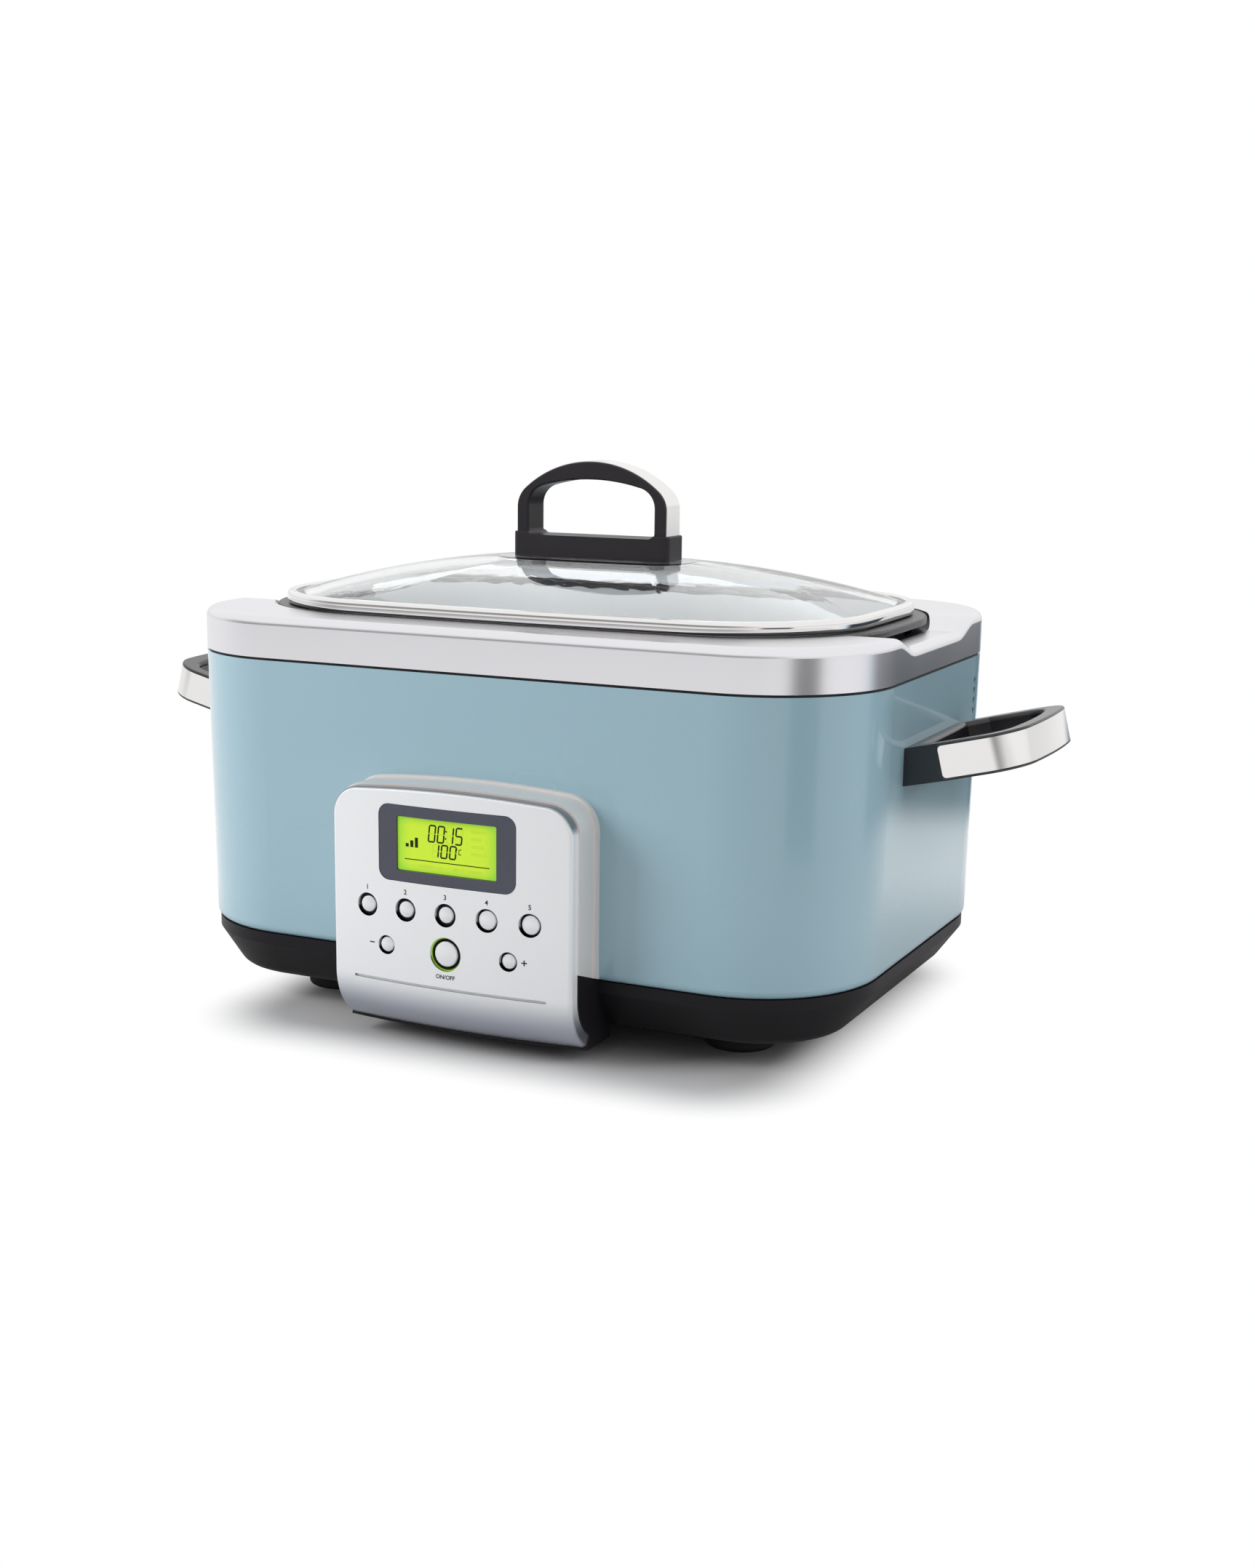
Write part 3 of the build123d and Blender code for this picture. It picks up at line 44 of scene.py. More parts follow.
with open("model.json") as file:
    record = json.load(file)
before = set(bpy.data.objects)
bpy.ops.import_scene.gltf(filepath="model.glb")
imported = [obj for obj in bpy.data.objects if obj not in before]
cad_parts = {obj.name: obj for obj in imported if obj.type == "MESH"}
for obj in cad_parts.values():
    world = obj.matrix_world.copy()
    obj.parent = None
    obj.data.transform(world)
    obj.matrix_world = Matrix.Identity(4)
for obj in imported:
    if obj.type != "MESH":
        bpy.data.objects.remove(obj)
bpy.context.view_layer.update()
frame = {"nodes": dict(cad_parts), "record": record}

MM = 0.001

# A button behind its cap, as the frame's own buttons have it.
COLLAR_STEP = 2 * MM
COLLAR_DEPTH = 1 * MM
STEM_RADIUS = 2.5 * MM

# From the foot of a cap's rounding back to the ring round it, and the ring's own bevel.
RING_STEP = 0.2 * MM

MODE_BUTTONS = ("button_1", "button_2", "button_3")

# Height of the font's capitals as a share of its size.
CAPITAL_SHARE = 0.7

# Faces that meet at a wider angle than this are shaded with a crease between them.
CREASE = math.radians(40)


class CookerColours(bpy.types.PropertyGroup):
    """Colours of the painted, moulded and lit pieces."""

    enamel: bpy.props.FloatVectorProperty(
        name="Enamel", description="Gloss paint of the housing",
        subtype="COLOR", size=3, min=0, max=1, default=(0.345, 0.53, 0.615),
    )
    plastic: bpy.props.FloatVectorProperty(
        name="Plastic", description="Black mouldings of the base and the handles",
        subtype="COLOR", size=3, min=0, max=1, default=(0.011, 0.0095, 0.0115),
    )
    lacquer: bpy.props.FloatVectorProperty(
        name="Lacquer", description="Silver lacquer of the control panel's face",
        subtype="COLOR", size=3, min=0, max=1, default=(0.92, 0.935, 0.955),
    )
    bezel: bpy.props.FloatVectorProperty(
        name="Bezel", description="Dark frame round the display",
        subtype="COLOR", size=3, min=0, max=1, default=(0.066, 0.070, 0.098),
    )
    display: bpy.props.FloatVectorProperty(
        name="Display", description="Lit ground of the display",
        subtype="COLOR", size=3, min=0, max=1, default=(0.41, 0.58, 0.018),
    )
    ink: bpy.props.FloatVectorProperty(
        name="Ink", description="Figures on the display",
        subtype="COLOR", size=3, min=0, max=1, default=(0.02, 0.035, 0.01),
    )
    print_grey: bpy.props.FloatVectorProperty(
        name="Print", description="Marks printed beside the buttons",
        subtype="COLOR", size=3, min=0, max=1, default=(0.03, 0.03, 0.036),
    )


class CookerSizes(bpy.types.PropertyGroup):
    """Sizes of the display's figures and of the printed marks."""

    digit_height: bpy.props.FloatProperty(
        name="Digit height", description="Height of the display's large figures",
        unit="LENGTH", default=8.0 * MM, min=0,
    )
    digit_slant: bpy.props.FloatProperty(
        name="Digit slant", description="How far the figures lean to the right",
        subtype="ANGLE", default=math.radians(6),
    )
    mark_height: bpy.props.FloatProperty(
        name="Mark height", description="Height of the numbers above the buttons",
        unit="LENGTH", default=2.4 * MM, min=0,
    )
    mark_weight: bpy.props.FloatProperty(
        name="Mark weight", description="How far the marks' outlines are swelled",
        unit="LENGTH", default=0.05 * MM, min=0,
    )
    ink_depth: bpy.props.FloatProperty(
        name="Ink depth",
        description="How far the figures and the marks stand off what carries them",
        unit="LENGTH", default=0.06 * MM, min=0,
    )
    face_bow: bpy.props.FloatProperty(
        name="Face bow", description="Radius of the panel's bowed face, seen from above",
        unit="LENGTH", default=490 * MM, min=0,
    )
    cap_crown: bpy.props.FloatProperty(
        name="Cap crown", description="How far a button's middle stands out from its edge",
        unit="LENGTH", default=0.45 * MM, min=0,
    )
    cap_edge: bpy.props.FloatProperty(
        name="Cap edge", description="Radius of the rounded edge of a button's cap",
        unit="LENGTH", default=0.8 * MM, min=0,
    )
    cap_depth: bpy.props.FloatProperty(
        name="Cap depth", description="From a button's front to the collar behind the face",
        unit="LENGTH", default=3.5 * MM, min=0,
    )
    # The dark ring round a cooking-mode button is its unlit light ring and painted shade of the
    # hole round the cap.
    ring_width: bpy.props.FloatProperty(
        name="Ring width", description="Width of the dark light ring round a cooking-mode button",
        unit="LENGTH", default=1.2 * MM, min=0,
    )
    # The dark line round the other buttons is painted shade of the gap between cap and face.
    gap_width: bpy.props.FloatProperty(
        name="Gap width", description="Width of the dark line round every other button",
        unit="LENGTH", default=0.5 * MM, min=0,
    )
    band_corner: bpy.props.FloatProperty(
        name="Band corner", description="Corner radius of the lid's band, seen from above",
        unit="LENGTH", default=74 * MM, min=0,
    )
    band_bow: bpy.props.FloatProperty(
        name="Band bow", description="How far each side of the lid's band swells out",
        unit="LENGTH", default=5.2 * MM, min=0,
    )
    band_lip: bpy.props.FloatProperty(
        name="Band lip", description="Thickness of the band's lips over and under the glass",
        unit="LENGTH", default=1.5 * MM, min=0,
    )
    band_edge: bpy.props.FloatProperty(
        name="Band edge", description="How far the band's lips reach in over the glass",
        unit="LENGTH", default=5.0 * MM, min=0,
    )


class StudioView(bpy.types.PropertyGroup):
    """Where the camera stands and how the picture is framed."""

    azimuth: bpy.props.FloatProperty(
        name="Azimuth", description="Turn of the camera from the front towards the right",
        subtype="ANGLE", default=math.radians(25.95),
    )
    elevation: bpy.props.FloatProperty(
        name="Elevation", description="Height of the camera above the horizon",
        subtype="ANGLE", default=math.radians(11.44),
    )
    roll: bpy.props.FloatProperty(
        name="Roll", description="Lean of the camera about its own axis",
        subtype="ANGLE", default=math.radians(0.571),
    )
    distance: bpy.props.FloatProperty(
        name="Distance", description="From the camera to the point it looks at",
        unit="LENGTH", default=1146.4 * MM, min=0,
    )
    target: bpy.props.FloatVectorProperty(
        name="Target", description="Point that the camera looks at",
        subtype="TRANSLATION", size=3, default=(0, 11.5 * MM, 94.87 * MM),
    )
    image: bpy.props.IntVectorProperty(
        name="Image", description="Width and height of the picture in pixels",
        size=2, default=(1725, 2156),
    )
    focal: bpy.props.FloatProperty(
        name="Focal length", description="Focal length in pixels of the picture",
        default=2872.96, min=1,
    )
    centre: bpy.props.FloatVectorProperty(
        name="Optical centre", description="Pixel that the optical axis meets, from the top left",
        size=2, default=(817.73, 1113.75),
    )


class Value:
    """A number that varies over a surface; arithmetic on it adds Math nodes to its tree."""

    def __init__(self, nodes, socket):
        self.nodes = nodes
        self.socket = socket

    def __add__(self, other):
        return self.nodes.math("ADD", self, other)

    def __radd__(self, other):
        return self.nodes.math("ADD", other, self)

    def __sub__(self, other):
        return self.nodes.math("SUBTRACT", self, other)

    def __rsub__(self, other):
        return self.nodes.math("SUBTRACT", other, self)

    def __mul__(self, other):
        return self.nodes.math("MULTIPLY", self, other)

    def __rmul__(self, other):
        return self.nodes.math("MULTIPLY", other, self)


class Nodes:
    """A node tree under construction; every node comes in through add."""

    def __init__(self, owner):
        owner.use_nodes = True
        self.tree = owner.node_tree
        self.tree.nodes.clear()

    def add(self, kind, settings=None, sockets=None, out=0):
        """Add a node: its settings are set first, then the values or links of its sockets."""
        node = self.tree.nodes.new(kind)
        for name, value in (settings or {}).items():
            setattr(node, name, value)
        for name, value in (sockets or {}).items():
            if isinstance(value, Value):
                self.tree.links.new(value.socket, node.inputs[name])
            else:
                node.inputs[name].default_value = value
        return Value(self, node.outputs[out]) if len(node.outputs) else None

    def math(self, operation, first, second):
        """Two numbers made one."""
        return self.add("ShaderNodeMath", {"operation": operation}, {0: first, 1: second})

    def vector(self, operation, *terms, out="Vector"):
        """Vectors made one, or a number where the operation gives one."""
        sockets = dict(enumerate(terms))
        return self.add("ShaderNodeVectorMath", {"operation": operation}, sockets, out)

    def axis(self, vector, name):
        """One coordinate of a vector."""
        return self.add("ShaderNodeSeparateXYZ", {}, {0: vector}, name)

    def coordinates(self, kind):
        """Where a point is, or how it faces."""
        return self.add("ShaderNodeTexCoord", out=kind)

    def ray(self, kind):
        """1 for rays of a kind and 0 for the others."""
        return self.add("ShaderNodeLightPath", out=kind)

    def noise(self, size, scale=(1, 1, 1)):
        """Noise between about 0 and 1 whose grains are about size across, stretched by a scale."""
        here = self.coordinates("Object")
        place = self.add("ShaderNodeMapping", {}, {"Vector": here, "Scale": scale})
        sockets = {"Vector": place, "Scale": 1 / size, "Detail": 2.0}
        return self.add("ShaderNodeTexNoise", {}, sockets)

    def bump(self, height, distance):
        """Normal bent by a height that runs from 0 to 1 over a distance."""
        sockets = {"Height": height, "Distance": distance, "Strength": 1.0}
        return self.add("ShaderNodeBump", {}, sockets)

    def ramp(self, value, start, end, low=0.0, high=1.0):
        """Smooth step from low to high while a value goes from start to end."""
        return self.add(
            "ShaderNodeMapRange", {"interpolation_type": "SMOOTHSTEP"},
            {"Value": value, "From Min": start, "From Max": end, "To Min": low, "To Max": high},
        )

    def about(self, pattern, value, spread):
        """A value that swings by half a spread to each side as a pattern runs from 0 to 1."""
        return value - spread / 2 + pattern * spread

    def blend(self, factor, first, second):
        """Colour between two colours."""
        return self.add(
            "ShaderNodeMix", {"data_type": "RGBA"}, {0: factor, 6: rgba(first), 7: rgba(second)}, 2,
        )

    def mottle(self, pattern, colour, share):
        """A colour that a pattern makes darker and lighter by a share."""
        return self.blend(pattern, tone(colour, 1 - share), tone(colour, 1 + share))

    def finish(self, sockets):
        """A Principled surface with these sockets, led to the output."""
        surface = self.add("ShaderNodeBsdfPrincipled", {}, sockets)
        self.add("ShaderNodeOutputMaterial", {}, {"Surface": surface})


def rgba(colour):
    """A colour with full alpha; a link is passed on as it is."""
    return colour if isinstance(colour, Value) else (*colour, 1)


def tone(colour, factor):
    """A colour made lighter or darker by a factor."""
    return tuple(min(1, channel * factor) for channel in colour)


def new_finish(name):
    """An empty material and its node builder."""
    material = bpy.data.materials.new(name)
    return material, Nodes(material)


def enamel(colour):
    """Gloss paint under a clear coat, with a faint orange peel."""
    material, nodes = new_finish("gloss_enamel")
    cloud = nodes.noise(120 * MM)
    peel = nodes.noise(1.6 * MM)
    nodes.finish({
        "Base Color": nodes.mottle(cloud, colour, 0.03),
        "Roughness": nodes.about(cloud, 0.27, 0.06),
        "Coat Weight": 1.0,
        "Coat Roughness": 0.05,
        "Coat IOR": 1.38,
        "Normal": nodes.bump(peel, 0.01 * MM),
    })
    return material


def moulding(name, colour, roughness, grain, gloss=0.5):
    """Moulded plastic or rubber with a fine even grain."""
    material, nodes = new_finish(name)
    patch = nodes.noise(50 * MM)
    speckle = nodes.noise(grain)
    nodes.finish({
        "Base Color": nodes.mottle(patch, colour, 0.15),
        "Roughness": nodes.about(speckle, roughness, 0.1),
        "Specular IOR Level": gloss,
        "Normal": nodes.bump(speckle, 0.02 * MM),
    })
    return material


def steel(name, colour, roughness):
    """Bare metal with faint smudges."""
    material, nodes = new_finish(name)
    smudge = nodes.noise(40 * MM)
    nodes.finish({
        "Base Color": rgba(colour),
        "Metallic": 1.0,
        "Roughness": roughness + smudge * 0.15 * roughness,
    })
    return material


def brushed_steel(name, colour, roughness, streak):
    """Bare metal brushed along the level, in lines of a streak's height."""
    material, nodes = new_finish(name)
    length = 50 * MM
    lines = nodes.noise(streak, scale=(streak / length, streak / length, 1))
    nodes.finish({
        "Base Color": nodes.blend(lines, tone(colour, 0.9), tone(colour, 1.08)),
        "Metallic": 1.0,
        "Roughness": nodes.about(lines, roughness, 0.16),
        "Normal": nodes.bump(lines, 0.01 * MM),
    })
    return material


def lacquer(name, colour, metallic, roughness, curl=None):
    """Silver lacquer: fine flakes under a clear coat.

    Where a curl's height is given, the paint below it is painted shade: a darker, bluish colour for
    the curl that turns down away from the light, and more metallic, so that it reflects the grey
    floor. The edges that turn up from the front are painted a dark reflection: metal of a dark grey
    colour, smoother and with no coat, along the top edge only."""
    material, nodes = new_finish(name)
    flake = nodes.noise(0.25 * MM)
    paint = nodes.mottle(flake, colour, 0.03)
    satin = nodes.about(flake, roughness, 0.08)
    coat = 0.6
    if curl:
        # Painted shade: the curl below its height takes this darker bluish colour, and more metal.
        curl_shade, curl_metallic = (0.53, 0.56, 0.64), 0.9
        # Painted dark reflection: the edges that turn up from the front take this dark grey metal.
        bare, bare_polish = (0.36, 0.36, 0.38), 0.18
        facing = nodes.coordinates("Normal")
        below = nodes.ramp(nodes.axis(nodes.coordinates("Object"), "Z"), curl, 0.45 * curl)
        turned = nodes.ramp(nodes.axis(facing, "Y"), -0.9, -0.6)
        upward = nodes.ramp(nodes.axis(facing, "Z"), 0.05, 0.4)
        # Mask of the upturned edges above the curl, where the dark reflection is painted.
        edge = turned * upward * (1 - below)
        paint = nodes.blend(below, paint, curl_shade)
        paint = nodes.blend(edge, paint, bare)
        metallic = metallic + below * (curl_metallic - metallic) + edge * (1 - metallic)
        satin = satin - edge * bare_polish
        coat = coat * (1 - edge)
    nodes.finish({
        "Base Color": paint, "Metallic": metallic, "Roughness": satin,
        "Coat Weight": coat, "Coat Roughness": 0.08,
    })
    return material


def coated_pot(outside, inside):
    """Dark outside and rim, and a pale coating on the walls that face the middle and on the floor.

    A wall faces the middle where its place on the level and its normal have a negative product."""
    material, nodes = new_finish("pot_coating")
    flange, inward, slope = 205 * MM, -10 * MM, 0.3
    here, facing = nodes.coordinates("Object"), nodes.coordinates("Normal")
    level = nodes.vector("MULTIPLY", here, (1, 1, 0))
    outward = nodes.vector("DOT_PRODUCT", level, facing, out="Value")
    rim = nodes.math("GREATER_THAN", nodes.axis(here, "Z"), flange)
    wall = nodes.math("LESS_THAN", outward, inward)
    floor = nodes.math("GREATER_THAN", nodes.axis(facing, "Z"), slope)
    pale = nodes.math("MAXIMUM", wall, floor) * (1 - rim)
    speckle = nodes.noise(0.4 * MM)
    nodes.finish({
        "Base Color": nodes.blend(pale, outside, inside),
        "Roughness": nodes.about(speckle, 0.35, 0.1),
        "Normal": nodes.bump(speckle, 0.01 * MM),
    })
    return material


def clear_glass():
    """Clear toughened glass with a faint green tint."""
    material, nodes = new_finish("lid_glass")
    haze = nodes.noise(30 * MM)
    nodes.finish({
        "Base Color": rgba((0.965, 0.98, 0.985)),
        "Roughness": haze * 0.02,
        "IOR": 1.3,
        "Transmission Weight": 1.0,
    })
    return material


def unlit_cells(colour, strength):
    """Cells of the display that are not lit: a little patchy, with the ground's light behind."""
    material, nodes = new_finish("display_ghost")
    patch = nodes.noise(8 * MM)
    nodes.finish({
        "Base Color": nodes.mottle(patch, colour, 0.1),
        "Roughness": 0.25,
        "Emission Color": nodes.blend(patch, tone(colour, 0.85), tone(colour, 1.1)),
        "Emission Strength": strength,
    })
    return material


def from_middle(nodes, box):
    """Where a point is from the middle of a box."""
    low, high = box
    return nodes.vector("SUBTRACT", nodes.coordinates("Object"), tuple((low + high) / 2))


def display_glow(colour, strength, box):
    """Ground of the lit display, with painted shade at its edges: it dims and turns greener towards
    the edge of its box, where the bezel shades the sunk display.
    """
    material, nodes = new_finish("display_glow")
    low, high = box
    share = nodes.vector("DIVIDE", from_middle(nodes, box), tuple((high - low) / 2))
    share = nodes.vector("ABSOLUTE", share)
    # Painted shade of the bezel along the display's sides and ends.
    sides = nodes.ramp(nodes.axis(share, "X"), 0.62, 1.0)
    ends = nodes.ramp(nodes.axis(share, "Z"), 0.5, 1.0)
    red, green, blue = colour
    glow = nodes.blend(sides + ends, colour, (0.55 * red, 0.85 * green, blue))
    nodes.finish({
        "Base Color": glow, "Roughness": 0.25,
        "Emission Color": glow, "Emission Strength": strength,
    })
    return material


def ring_glow(colour, box):
    """A dark light guide that glows along its outer edge."""
    material, nodes = new_finish("light_guide_ring")
    dark, bright = 7.75 * MM, 8.15 * MM
    offset = nodes.vector("MULTIPLY", from_middle(nodes, box), (1, 0, 1))
    reach = nodes.vector("LENGTH", offset, out="Value")
    glow = nodes.blend(nodes.ramp(reach, dark, bright), tone(colour, 0.03), colour)
    nodes.finish({
        "Base Color": glow, "Roughness": 0.3,
        "Emission Color": glow, "Emission Strength": 0.5,
    })
    return material


def slot_finishes(colours):
    """The finish of each material slot of the frame."""
    black, silver = colours.plastic, colours.lacquer
    return {
        "blue_paint": enamel(colours.enamel),
        "black_plastic": moulding("satin_black", black, roughness=0.42, grain=0.3 * MM, gloss=0.2),
        "black_rubber": moulding("matte_rubber", black, roughness=0.7, grain=0.5 * MM),
        "steel_screws": steel("screw_steel", (0.55, 0.55, 0.56), roughness=0.3),
        "satin_steel": steel("satin_rim", (0.82, 0.81, 0.84), roughness=0.24),
        "polished_steel": steel("mirror_steel", (0.84, 0.83, 0.82), roughness=0.05),
        "sheet_steel": brushed_steel(
            "mill_steel", (0.55, 0.56, 0.57), roughness=0.35, streak=0.8 * MM,
        ),
        "cast_aluminium": moulding(
            "cast_aluminium", (0.42, 0.42, 0.43), roughness=0.5, grain=0.8 * MM,
        ),
        "pot_coating": coated_pot(outside=(0.03, 0.03, 0.033), inside=(0.74, 0.76, 0.77)),
        "clear_glass": clear_glass(),
        "clear_silicone": moulding("silicone", (0.6, 0.62, 0.62), roughness=0.45, grain=0.5 * MM),
        "silver_face": lacquer("silver_face", silver, metallic=0.12, roughness=0.34, curl=37 * MM),
        "dark_bezel": moulding("display_frame", colours.bezel, roughness=0.28, grain=0.2 * MM),
        "silver_button": lacquer("silver_button", tone(silver, 0.98), metallic=0.15, roughness=0.3),
        "circuit_board": moulding("solder_mask", (0.02, 0.16, 0.06), roughness=0.4, grain=0.5 * MM),
        "transformer_tape": moulding(
            "winding_tape", (0.55, 0.42, 0.06), roughness=0.5, grain=0.5 * MM,
        ),
        "white_plastic": moulding(
            "white_plastic", (0.75, 0.74, 0.70), roughness=0.45, grain=0.4 * MM,
        ),
        "lcd_green": display_glow(colours.display, 0.6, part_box("lcd_module")),
        "green_light": ring_glow((0.30, 0.55, 0.03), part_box("light_ring")),
    }


def own_finishes(colours):
    """The finish of each node that looks unlike the rest of its slot."""
    black = colours.plastic
    handle = moulding("handle_black", black, roughness=0.25, grain=0.3 * MM, gloss=0.7)
    grip = moulding("grip_black", tone(black, 1.9), roughness=0.4, grain=0.3 * MM, gloss=0.3)
    return {
        "panel_surround": lacquer(
            "satin_surround", (0.80, 0.765, 0.745), metallic=0.2, roughness=0.4,
        ),
        "lid_handle_strap": steel("strap_steel", (0.84, 0.83, 0.82), roughness=0.12),
        "lid_handle": grip,
        "side_handle_left": handle,
        "side_handle_right": handle,
    }


def mesh_object(name, corners, faces, material, body):
    """A new piece from corners and faces that rides on a body and takes the finish it is given."""
    mesh = bpy.data.meshes.new(name)
    mesh.from_pydata(corners.tolist(), [], [list(face) for face in faces])
    mesh.validate()
    mesh.materials.append(material)
    piece = bpy.data.objects.new(name, mesh)
    bpy.context.scene.collection.objects.link(piece)
    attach(piece, body)
    return piece


class SLOWCOOKER_OT_finishes(bpy.types.Operator):
    """Give every piece of the frame its finish"""

    bl_idname = "slowcooker.finishes"
    bl_label = "Finishes"

    def execute(self, context):
        finishes = slot_finishes(context.scene.cooker_colours)
        own = own_finishes(context.scene.cooker_colours)
        for part in frame["record"]["subparts"]:
            mesh = frame["nodes"][part["node"]].data
            mesh.materials.clear()
            mesh.materials.append(own.get(part["node"], finishes[part["material_slot"]]))
        return {"FINISHED"}


def grid_faces(rows, columns, around_rows, around_columns):
    """Quads of a grid of points, closed round its rows or its columns where it is asked for."""
    row = np.arange(rows if around_rows else rows - 1)[:, None]
    column = np.arange(columns if around_columns else columns - 1)[None, :]
    next_row, next_column = (row + 1) % rows, (column + 1) % columns
    corners = (
        row * columns + column, row * columns + next_column,
        next_row * columns + next_column, next_row * columns + column,
    )
    return np.stack(np.broadcast_arrays(*corners), axis=-1).reshape(-1, 4)


def smooth(piece):
    """Shade a piece smoothly, except across its creases."""
    mesh = piece.data
    mesh.polygons.foreach_set("use_smooth", np.ones(len(mesh.polygons), dtype=bool))
    mesh.set_sharp_from_angle(angle=CREASE)


def bowed_outline(half, corner, bow, steps):
    """Headings, arc middles and arc radii of a rounded rectangle whose sides swell.

    A side of half length c and swell s is an arc of radius (c^2 + s^2) / 2s. The corner's arc
    touches both side arcs from inside, so its middle lies where circles of the side radii less the
    corner's meet. Every point is then its arc's middle plus its arc's radius times (cos, sin) of
    its heading, and its inset is taken from that radius. The other three quarters are the first
    one mirrored."""
    x, y = half
    side_x = ((x - bow)**2 + bow**2) / (2 * bow)
    side_y = ((y - bow)**2 + bow**2) / (2 * bow)
    front, right = np.array((0, side_x - y)), np.array((x - side_y, 0))
    gap = right - front
    reach = np.linalg.norm(gap)
    first, second = side_x - corner, side_y - corner
    along = (first**2 - second**2 + reach**2) / (2 * reach)
    aside = math.sqrt(first**2 - along**2)
    ways = gap / reach, np.array((gap[1], -gap[0])) / reach
    meetings = [front + ways[0] * along + ways[1] * aside * turn for turn in (-1, 1)]
    middle = max(meetings, key=lambda spot: spot[0])
    leave = math.atan2(*(middle - front)[::-1])
    enter = math.atan2(*(middle - right)[::-1])
    arcs = (
        (front, side_x, np.linspace(-math.pi / 2, leave, steps[0], endpoint=False)),
        (middle, corner, np.linspace(leave, enter, steps[1], endpoint=False)),
        (right, side_y, np.linspace(enter, 0, steps[2], endpoint=False)),
    )
    heading = np.concatenate([arc[2] for arc in arcs])
    centre = np.concatenate([np.tile(arc[0], (len(arc[2]), 1)) for arc in arcs])
    radius = np.concatenate([np.full(len(arc[2]), arc[1]) for arc in arcs])
    quarters = ((1, 1), (1, -1), (-1, -1), (-1, 1))
    headings, centres, radii = [], [], []
    for number, (flip_x, flip_y) in enumerate(quarters):
        order = slice(None, None, -1) if number % 2 else slice(None)
        facing = np.stack((flip_x * np.cos(heading), flip_y * np.sin(heading)), axis=1)
        headings.append(facing[order])
        centres.append((centre * (flip_x, flip_y))[order])
        radii.append(radius[order])
    return np.concatenate(headings), np.concatenate(centres), np.concatenate(radii)


class SLOWCOOKER_OT_lid_band(bpy.types.Operator):
    """Roll the steel band round the lid's glass"""

    bl_idname = "slowcooker.lid_band"
    bl_label = "Lid band"

    def execute(self, context):
        sizes = context.scene.cooker_sizes
        low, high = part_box("lid_band")
        half = np.array((high.x - low.x, high.y - low.y)) / 2
        steps = (20, 40, 14)
        heading, centre, radius = bowed_outline(half, sizes.band_corner, sizes.band_bow, steps)
        inset, height = self.section(sizes, high.z - low.z)
        reach = radius[:, None] - inset[None, :]
        flat = centre[:, None, :] + heading[:, None, :] * reach[:, :, None]
        flat = flat + ((low + high) / 2).xy
        upright = np.broadcast_to(height + low.z, reach.shape)
        points = np.concatenate((flat, upright[:, :, None]), axis=2).reshape(-1, 3)
        faces = grid_faces(*reach.shape, True, True)
        chrome = frame["nodes"]["lid_band"].data.materials[0]
        band = mesh_object("rolled_band", points, faces, chrome, "lid")
        smooth(band)
        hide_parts("lid_band")
        return {"FINISHED"}

    @staticmethod
    def section(sizes, tall):
        """Insets and heights round the band's section: a rolled outside, and lips over and under a
        channel for the glass.

        The roll is half a superellipse of power n, inset = depth (1 - cos^(2/n) t) and height =
        middle + half sin^(2/n) t with the sine's own sign, so that it stands nearly upright."""
        lip, edge = sizes.band_lip, sizes.band_edge
        depth, wall, tip = 0.62 * edge, 0.37 * edge, 0.4 * lip
        bend = 0.3 * tip
        power, steps = 3.2, 33
        turn = np.linspace(-math.pi / 2, math.pi / 2, steps)
        across = np.abs(np.cos(turn))**(2 / power)
        upward = np.sign(np.sin(turn)) * np.abs(np.sin(turn))**(2 / power)
        roll = np.stack((depth * (1 - across), tall / 2 * (1 + upward)), axis=1)
        top = np.array((
            (edge - tip, tall), (edge - bend, tall - bend), (edge, tall - tip), (edge, tall - lip),
        ))
        channel = np.array(((wall, tall - lip), (wall, lip)))
        bottom = np.stack((top[:, 0], tall - top[:, 1]), axis=1)[::-1]
        loop = np.concatenate((roll, top, channel, bottom))
        return loop[:, 0], loop[:, 1]


